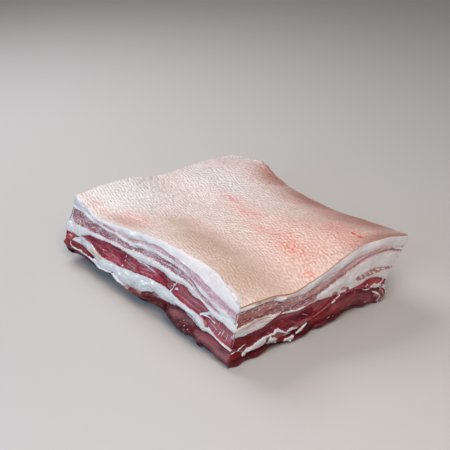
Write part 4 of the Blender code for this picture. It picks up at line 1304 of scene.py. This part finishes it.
# %% Lean group
def make_lean_group():
    group, given, result = new_group(
        "lean",
        {
            "Bed": None,
            "Border": 0.0,
            "Under": 0.0,
            "Lean": 1.0,
            **dict.fromkeys(STAINS_AND_PAINTED_LIGHT, 0.0),
            "Deep": (0.15, 0.02, 0.03, 1.0),
            "Bright": (0.4, 0.08, 0.11, 1.0),
            "Fat": (0.75, 0.7, 0.68, 1.0),
            "White": (0.76, 0.79, 0.83, 1.0),
            "Marbling": 0.4,
            "Streak mm": 9.0,
            "Fray mm": 0.8,
            "Shade mm": 0.0,
        },
        {"Color": tuple, "Fat mask": float, "Height": float, "Wet": float},
    )

    def total(*parts):
        """Adds up values, each times its weight."""
        so_far = 0.0
        for value, weight in parts:
            so_far = calculate(group, "MULTIPLY_ADD", value, weight, so_far)
        return so_far

    # Length, width and seed, and for some their wander and detail.
    in_bed = partial(streaks, group, given["Bed"])
    broad = in_bed(26.0, 6.0, 1.0, 1.0, 2.0)
    fibres = in_bed(given["Streak mm"], 0.9, 2.0)
    threads = in_bed(given["Streak mm"], 1.8, 3.0, 1.2)
    flecks = in_bed(2.8, 1.4, 4.0, 0.4, 2.0)

    tone = total((broad, 0.6), (fibres, 0.55), (flecks, 0.25))
    flesh = mix(group, ramp(group, tone, 0.58, 0.84), given["Deep"], given["Bright"])

    # Fat threads are the crests of a noise, drawn where a broader one lets them through.
    crest = calculate(group, "ABSOLUTE", calculate(group, "SUBTRACT", threads, 0.5))
    thread = ramp(group, crest, 0.02, 0.0)
    thread = calculate(group, "MULTIPLY", thread, ramp(group, broad, 0.46, 0.6))
    eased = calculate(group, "MULTIPLY_ADD", given["Marbling"], 0.13, flecks)
    fleck = ramp(group, eased, 0.62, 0.72)
    marbled = calculate(group, "MAXIMUM", thread, fleck)
    marbled = calculate(group, "MULTIPLY", marbled, given["Marbling"], clamp=True)

    # The border frays: it reads as fat up to a distance that changes with the noise.
    fray = calculate(group, "MULTIPLY", given["Fray mm"], ramp(group, flecks, 0.4, 0.65))
    border = calculate(group, "MULTIPLY", given["Border"], PER_METRE)
    frayed = ramp(group, calculate(group, "SUBTRACT", border, fray), 0.15, -0.15)

    # Marks on the cuts turn lean into fat, with an edge that follows the flecks and fibres.
    edge = total((flecks, 0.9), (fibres, 0.8), (given["Lean"], 1.0))
    marked = ramp(group, edge, 1.43, 1.27)

    # Painted shade: an uneven dark line is painted on the lean just under the fat above it, where
    # the lean draws back.
    under = calculate(group, "MULTIPLY", given["Under"], PER_METRE)
    shade_reach = calculate(group, "MULTIPLY", given["Shade mm"], ramp(group, threads, 0.38, 0.62))
    shaded = ramp(group, calculate(group, "SUBTRACT", under, shade_reach), 0.35, -0.35)
    shade_share = calculate(group, "MINIMUM", given["Shade mm"], 0.8)  # none where it is 0 mm
    flesh = mix(group, calculate(group, "MULTIPLY", shaded, shade_share), flesh, STAINS_AND_PAINTED_LIGHT["Dark"])

    # What has grown as fat comes first, the marks lie over it, and the stains and painted light
    # over both.
    grown = calculate(group, "MAXIMUM", marbled, frayed)
    mask = calculate(group, "MAXIMUM", grown, marked, clamp=True)
    colour = mix(group, grown, flesh, given["Fat"])
    colour = mix(group, marked, colour, given["White"])
    colour = paint_stains_and_light(group, colour, given, fibres)
    group.links.new(colour, result["Color"])
    group.links.new(mask, result["Fat mask"])
    group.links.new(total((fibres, 1.0), (flecks, 0.7), (mask, 0.3)), result["Height"])
    film = total((broad, 0.6), (flecks, 0.4))
    group.links.new(ramp(group, film, 0.50, 0.60), result["Wet"])
    return group


lean_group = make_lean_group()
print("made", lean_group.name)

# %% [markdown]
# ### Four kinds of lean
# The lowest muscle is nearly black red, the main one bright and marbled, and the upper two are
# pale pink. On the right cut the flesh is painted darker and browner than on the front, as painted
# shade, so it is multiplied by a tint, which leaves the fat in it white.

# %% Lean materials
# What each layer gives to the lean group, with lengths in mm.
LEANS = {
    "bottom_lean": {
        "Deep": (0.060, 0.004, 0.009, 1.0), "Bright": (0.25, 0.020, 0.034, 1.0),
        "Fat": (0.62, 0.45, 0.45, 1.0), "Marbling": 0.12,
        "Streak_mm": 12.0, "Fray_mm": 0.3, "Shade_mm": 1.1,
    },
    "main_lean": {
        "Deep": (0.19, 0.007, 0.024, 1.0), "Bright": (0.50, 0.055, 0.10, 1.0),
        "Fat": (0.70, 0.50, 0.53, 1.0), "Marbling": 0.30,
        "Streak_mm": 11.0, "Fray_mm": 0.5, "Shade_mm": 1.1,
    },
    "upper_lean": {
        "Deep": (0.29, 0.10, 0.13, 1.0), "Bright": (0.58, 0.32, 0.36, 1.0),
        "Fat": (0.78, 0.75, 0.79, 1.0), "Marbling": 0.75,
        "Streak_mm": 4.0, "Fray_mm": 0.7, "Shade_mm": 0.0,
    },
    "skin_muscle": {
        "Deep": (0.55, 0.28, 0.33, 1.0), "Bright": (0.82, 0.62, 0.68, 1.0),
        "Fat": (0.80, 0.76, 0.79, 1.0), "Marbling": 0.75,
        "Streak_mm": 6.0, "Fray_mm": 0.7, "Shade_mm": 0.0,
    },
}
RIGHT_SHADE_TINTS = {
    "bottom_lean": (0.98, 0.55, 0.42, 1.0),
    "main_lean": (0.42, 0.26, 0.18, 1.0),
    "upper_lean": (0.74, 0.52, 0.41, 1.0),
    "skin_muscle": (0.55, 0.38, 0.31, 1.0),
}
LEAN_SPECULAR, LEAN_COAT, LEAN_COAT_ROUGHNESS = 0.14, 0.2, 0.08
LEAN_BUMP, LEAN_BUMP_HEIGHT = 0.8, 0.7  # strength, and mm


def make_lean(name):
    material, tree, shader = new_material(name + "_flesh")
    under = attribute(tree, "under")
    lean = use_group(tree, lean_group, **readings(tree), Under=under, **LEANS[name])
    # Painted shade: the flesh on the right cut is multiplied by a darker, browner tint.
    flesh_share = calculate(tree, "SUBTRACT", 1.0, lean["Fat mask"])
    right_shade = calculate(tree, "MULTIPLY", flesh_share, attribute(tree, "right"))
    colour = mix(tree, right_shade, lean["Color"], RIGHT_SHADE_TINTS[name], "MULTIPLY")
    tree.links.new(colour, shader.inputs["Base Color"])
    shader.inputs["Specular IOR Level"].default_value = LEAN_SPECULAR
    add_gloss(tree, shader, lean["Wet"], WET, LEAN_COAT, LEAN_COAT_ROUGHNESS)
    add_bump(tree, shader, lean["Height"], LEAN_BUMP, LEAN_BUMP_HEIGHT)
    return material


print("lean finishes:", ", ".join(LEANS))

# %% [markdown]
# ## Fat
# Fat is white to cream, in soft lobules, with a little pink near the meat and faint veins. The
# knife leaves fine lines along it. It is glossy where its film is whole and dull between, and
# scraps of lean in it come from the same marks as on the lean layers.

# %% Fat group
def make_fat_group():
    group, given, result = new_group(
        "fat",
        {
            "Bed": None,
            "Border": 0.0,
            "Lean": 0.0,
            **dict.fromkeys(STAINS_AND_PAINTED_LIGHT, 0.0),
            "White": (0.84, 0.80, 0.78, 1.0),
            "Cream": (0.78, 0.68, 0.62, 1.0),
            "Stain": (0.66, 0.40, 0.40, 1.0),
            "Meat": (0.36, 0.07, 0.09, 1.0),
            "Stain mm": 1.0,
        },
        {"Color": tuple, "Height": float, "Wet": float},
    )

    # Length, width, seed, wander and detail.
    in_bed = partial(streaks, group, given["Bed"])
    lobules = in_bed(5.0, 3.0, 5.0, 0.3, 2.0)
    grain = in_bed(1.8, 1.1, 6.0, 0.2, 2.0)
    veins = in_bed(14.0, 2.4, 7.0, 1.0, 3.0)
    drag = in_bed(16.0, 0.8, 8.0, 0.3, 2.0)

    tone = calculate(group, "MULTIPLY_ADD", drag, 0.6, lobules)
    toned = ramp(group, tone, 0.68, 0.94)
    colour = mix(group, toned, given["White"], given["Cream"])
    crest = calculate(group, "ABSOLUTE", calculate(group, "SUBTRACT", veins, 0.5))
    vein = calculate(group, "MULTIPLY", ramp(group, crest, 0.018, 0.0), 0.4)
    colour = mix(group, vein, colour, given["Stain"])

    # Near the meat the fat is stained, over a reach that changes with the veins.
    border = calculate(group, "MULTIPLY", given["Border"], PER_METRE)
    reach = calculate(group, "MULTIPLY", given["Stain mm"], ramp(group, veins, 0.35, 0.65))
    near = ramp(group, calculate(group, "SUBTRACT", border, reach), 0.2, -0.2)
    colour = mix(group, calculate(group, "MULTIPLY", near, 0.5), colour, given["Stain"])

    # Marks turn fat into meat, with an edge that follows the knife's drag and the grain.
    edge = calculate(group, "MULTIPLY_ADD", drag, 0.8, given["Lean"])
    marked = ramp(group, calculate(group, "MULTIPLY_ADD", grain, 0.9, edge), 1.27, 1.43)
    meat = mix(group, 0.2, given["Meat"], mix(group, toned, given["Meat"], given["Stain"]))
    colour = paint_stains_and_light(group, mix(group, marked, colour, meat), given, drag)
    group.links.new(colour, result["Color"])
    height = calculate(group, "MULTIPLY_ADD", drag, 0.5, lobules)
    height = calculate(group, "MULTIPLY_ADD", grain, 0.5, height)
    group.links.new(height, result["Height"])
    group.links.new(ramp(group, veins, 0.42, 0.58), result["Wet"])
    return group


fat_group = make_fat_group()
print("made", fat_group.name)

# %% [markdown]
# ### Three kinds of fat
# The fat between the muscles is white and wet, and towards the rind it gets creamier and duller.
# The back fat's finish is made here too, but it is part of the rind's material further down,
# because both lie on one piece.

# %% Fat materials
# White, cream, the colour of lean scraps in it, stain in mm, and the share of wet film.
FATS = {
    "lower_fat": ((0.72, 0.79, 0.85), (0.66, 0.66, 0.67), (0.24, 0.026, 0.040), 0.5, 1.0),
    "middle_fat": ((0.79, 0.80, 0.83), (0.73, 0.69, 0.69), (0.42, 0.13, 0.11), 1.0, 0.45),
    "fat_seam": ((0.80, 0.81, 0.84), (0.76, 0.70, 0.71), (0.44, 0.22, 0.20), 0.3, 0.35),
    "rind_and_back_fat": ((0.78, 0.79, 0.82), (0.75, 0.71, 0.72), (0.40, 0.18, 0.15), 0.4, 0.35),
}
# Painted shade: lean scraps near the corner of the right cut are darkened like the lean there.
RIGHT_SHADE_MEAT = (0.55, 0.42, 0.36, 1.0)  # tint of lean scraps near the corner of the right cut
FAT_COAT, FAT_COAT_ROUGHNESS = 0.6, 0.12
FAT_BUMP, FAT_BUMP_HEIGHT = 0.8, 0.6  # strength, and mm


def add_fat(tree, shader, white, cream, meat, stain, film):
    """Adds the fat group for a layer, and its gloss. Its wet film is patchy."""
    # Painted shade on lean scraps in the fat of the right cut.
    right_shade = mix(tree, attribute(tree, "right"), (1.0, 1.0, 1.0, 1.0), RIGHT_SHADE_MEAT)
    fat = use_group(
        tree, fat_group, **readings(tree), White=(*white, 1.0), Cream=(*cream, 1.0),
        Meat=mix(tree, 1.0, (*meat, 1.0), right_shade, "MULTIPLY"), Stain_mm=stain,
    )
    wet_roughness = blend(DRY, WET, film)
    add_gloss(tree, shader, fat["Wet"], wet_roughness, film * FAT_COAT, FAT_COAT_ROUGHNESS)
    return fat


def make_fat(name):
    material, tree, shader = new_material(name + "_tissue")
    fat = add_fat(tree, shader, *FATS[name])
    tree.links.new(fat["Color"], shader.inputs["Base Color"])
    add_bump(tree, shader, fat["Height"], FAT_BUMP, FAT_BUMP_HEIGHT)
    return material


print("fat finishes:", ", ".join(FATS))

# %% [markdown]
# ## Rind
# The rind is scalded skin: pale, with a pink flush here and a tan, dried zone there, and with
# painted shade along its edges, most at the back and on the right. These zones have no edge, so
# each is a few soft ovals, worked out at the points of the mesh. A painted picture would do the
# same, but it can't be kept as a few numbers.

# %% Zones of the rind
# Soft oval places in mm: x, y, reach along x and y, strength.
ZONES = {
    "pale": (
        (-100, -45, 50, 45, 1.0), (-68, 45, 42, 34, 0.9), (-45, -20, 30, 40, 0.4),
        (-95, 95, 40, 20, 0.6),
    ),
    "warm": ((125, 20, 105, 110, 1.0),),
    "flush": (
        (-30, 28, 28, 9, 1.0), (5, 20, 32, 11, 1.0), (38, 6, 24, 8, 0.8), (60, 30, 26, 14, 0.8),
        (88, 52, 24, 13, 0.9), (50, 78, 28, 10, 0.9), (-42, -70, 28, 12, 1.0), (5, 70, 40, 7, 0.7),
        (112, 40, 18, 12, 0.7), (80, 2, 24, 10, 0.8), (0, -30, 30, 7, 0.6), (62, 20, 60, 30, 0.4),
        (-75, 72, 34, 22, 0.4),
    ),
    "tan": (
        (42, -56, 50, 21, 1.0), (92, -62, 40, 24, 0.9), (-8, -44, 38, 15, 0.7),
        (-82, -80, 44, 9, 0.6),
    ),
    # Painted shade along the rind's edges, most at the back and on the right.
    "dusk": (
        (-46, 103, 32, 25, 1.0), (10, 101, 55, 26, 1.0), (75, 96, 50, 36, 1.0),
        (128, 75, 18, 60, 0.9), (-45, -78, 26, 9, 0.6),
    ),
    "smooth": ((100, -50, 45, 45, 1.0), (30, -62, 60, 22, 0.7)),
    "speckle": (
        (86, 2, 22, 9, 1.0), (118, -9, 7, 5, 1.0), (66, 10, 18, 8, 0.8), (96, 40, 18, 12, 0.5),
        (100, 12, 14, 12, 0.6), (42, 6, 18, 5, 0.5),
    ),
    "graze": (
        (104.5, 53.4, 3.2, 1.3, 1.0), (112.5, 52.6, 4.4, 1.6, 1.0), (-39, 82.4, 1.5, 1.5, 1.0),
    ),
}


def zone_mask(points, zones):
    """How strongly each point lies in soft oval zones, from 0 to 1."""
    x, y = points[:, 0] / MM, points[:, 1] / MM
    mask = np.zeros(len(points))
    for centre_x, centre_y, reach_x, reach_y, strength in zones:
        away = ((x - centre_x) / reach_x) ** 2 + ((y - centre_y) / reach_y) ** 2
        mask = np.maximum(mask, strength * np.exp(-away))
    return mask


print("zones of the rind:", ", ".join(ZONES))

# %% [markdown]
# ### The rind's material
# Over the zones lies the grain: ridges from the mesh, pebbles and creases between them, and
# smears of the flush that run across the rows. The ridges are painted lighter, as painted
# highlight, and the furrows darker and pinker, partly as painted shade. The rows turn slowly over
# the slab, so the grain has its own coordinates, kept at each point. On the cut the rind is a thin
# amber line over fat.

# %% Rind material
SKIN = {
    "base": (0.84, 0.71, 0.68, 1.0),
    "pale": (0.77, 0.73, 0.72, 1.0),
    "warm": (0.80, 0.57, 0.49, 1.0),
    "flush": (0.80, 0.37, 0.33, 1.0),
    "tan": (0.66, 0.48, 0.39, 1.0),
    "dusk": (0.46, 0.225, 0.185, 1.0),
    # Painted shade colour for the rind's edges.
    "speckle": (0.80, 0.22, 0.14, 1.0),
    "graze": (0.78, 0.06, 0.045, 1.0),
}
# Painted light of the grain: ridges are lightened as painted highlight, and furrows are darkened
# as painted shade and made pinker.
FURROW_PINK_AND_SHADE_TINT = (0.84, 0.74, 0.71, 1.0)
RIDGE_HIGHLIGHT_TINT = (1.13, 1.22, 1.24, 1.0)
AMBER, UNDER_SKIN = (0.50, 0.21, 0.10, 1.0), (0.82, 0.78, 0.78, 1.0)
SMEAR_TURN = -58  # degrees from the rows to the smears of the flush
RIND_THICKNESS = 1.0, 1.6  # mm, where it starts and has ended on the cut
RIND_BUMP, RIND_BUMP_HEIGHT = 0.6, 0.3  # strength, and mm


def turned(rows, degrees):
    """Row coordinates turned about the vertical, for streaks that cross the rows."""
    angle = math.radians(degrees)
    onward, across = rows[:, 0], rows[:, 2]
    along_streak = onward * math.cos(angle) + across * math.sin(angle)
    beside_streak = across * math.cos(angle) - onward * math.sin(angle)
    return np.column_stack([along_streak, np.zeros(len(rows)), beside_streak])


def row_noise(tree, rows, length, width, seed, detail=0.0):
    """Noise in millimetres along and across the follicle rows, around 0."""
    value = streaks(tree, rows, length, width, seed, 0.2, detail)
    return calculate(tree, "SUBTRACT", value, 0.5)


def make_skin_colour(tree):
    """The rind's colour and the height of its grain, from the zones and the follicle rows."""
    in_rows = partial(row_noise, tree, attribute(tree, "rows", "Vector"))
    across_rows = partial(row_noise, tree, attribute(tree, "smears", "Vector"))
    pebbles = in_rows(1.7, 3.6, 12.0)
    mottle = in_rows(9.0, 6.0, 13.0, 2.0)
    dots = in_rows(2.2, 2.6, 14.0)
    smears = across_rows(15.0, 3.2, 15.0, 2.0)
    creases = across_rows(6.0, 1.7, 16.0, 1.0)
    height = calculate(tree, "MULTIPLY_ADD", creases, 2.6, attribute(tree, "ridges"))
    height = calculate(tree, "MULTIPLY_ADD", pebbles, 1.6, height)

    colour = SKIN["base"]
    for zone in ("warm", "pale", "tan", "dusk"):
        uneven = calculate(tree, "MULTIPLY_ADD", mottle, 0.25, attribute(tree, zone))
        colour = mix(tree, ramp(tree, uneven, 0.02, 0.98), colour, SKIN[zone])
    blotch = ramp(tree, calculate(tree, "MULTIPLY_ADD", pebbles, 0.5, smears), -0.14, 0.16)
    flushed = calculate(tree, "MULTIPLY", attribute(tree, "flush"), blotch)
    colour = mix(tree, flushed, colour, SKIN["flush"])
    # Painted highlight on the ridges and painted shade in the furrows.
    tint = mix(tree, ramp(tree, height, -1.1, 1.1), FURROW_PINK_AND_SHADE_TINT, RIDGE_HIGHLIGHT_TINT)
    depth = ramp(tree, attribute(tree, "smooth"), 0.0, 1.0, 1.0, 0.55)
    colour = mix(tree, depth, colour, tint, "MULTIPLY")
    speckle = ramp(tree, dots, 0.0, 0.08)
    speckled = calculate(tree, "MULTIPLY", attribute(tree, "speckle"), speckle)
    colour = mix(tree, speckled, colour, SKIN["speckle"])
    graze = calculate(tree, "MULTIPLY_ADD", dots, 1.2, attribute(tree, "graze"))
    return mix(tree, ramp(tree, graze, 0.35, 0.6), colour, SKIN["graze"]), height


def make_rind_material():
    material, tree, shader = new_material("rind_skin")
    colour, grain = make_skin_colour(tree)
    fat = add_fat(tree, shader, *FATS["rind_and_back_fat"])
    depth = calculate(tree, "MULTIPLY", attribute(tree, "depth"), PER_METRE)
    edge = mix(tree, ramp(tree, attribute(tree, "right"), 0.0, 0.3), UNDER_SKIN, AMBER)
    under = mix(tree, ramp(tree, depth, *RIND_THICKNESS), edge, fat["Color"])
    covered = ramp(tree, attribute(tree, "skin"), 0.35, 0.65)
    tree.links.new(mix(tree, covered, under, colour), shader.inputs["Base Color"])
    height = mix(tree, covered, fat["Height"], grain)
    add_bump(tree, shader, height, RIND_BUMP, RIND_BUMP_HEIGHT)
    return material


print("skin colours:", ", ".join(SKIN))

# %% [markdown]
# ## Put the layers together
# Each layer is built and given the coordinates and masks that its finish reads, and its finish.
# The frame solid that it replaces is hidden.

# %% Build the eight layers
SHARP_ANGLE = math.radians(60)


def store(data, name, values):
    """Keeps a number or a vector at each point of the mesh, for its finish to read."""
    kind, field = ("FLOAT_VECTOR", "vector") if values.ndim == 2 else ("FLOAT", "value")
    layer = data.attributes.new(name, kind, "POINT")
    layer.data.foreach_set(field, values.astype(np.float32).ravel())


def finish_for(name):
    if name == LAYERS[RIND].name:
        return make_rind_material()
    return make_lean(name) if name in LEANS else make_fat(name)


def add_layer(index):
    """Builds a layer, stores what its finish reads, and hides the frame solid that it replaces."""
    name = LAYERS[index].name
    mesh, rows = flat_layer(index)
    data = mesh_data(mesh, name + "_fine")
    flat = np.zeros(len(data.vertices) * 3)
    data.vertices.foreach_get("co", flat)
    place, values = bend(index, flat.reshape(-1, 3))
    data.vertices.foreach_set("co", place.astype(np.float32).ravel())
    data.update()
    data.shade_smooth()
    data.set_sharp_from_angle(angle=SHARP_ANGLE)
    if index == RIND:
        values.update({zone: zone_mask(place, ovals) for zone, ovals in ZONES.items()})
        values["rows"] = follicle_rows(place)
        values["smears"] = turned(values["rows"], SMEAR_TURN)
        values["ridges"] = row_height(place)
    for label, numbers in values.items():
        store(data, label, numbers)
    data.materials.append(finish_for(name))
    piece = add_object(name + "_fine", data)
    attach(piece, "root")
    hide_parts(name)
    print(piece.name, len(data.polygons), "faces,", rows, "rows")


for index in range(len(LAYERS)):
    add_layer(index)
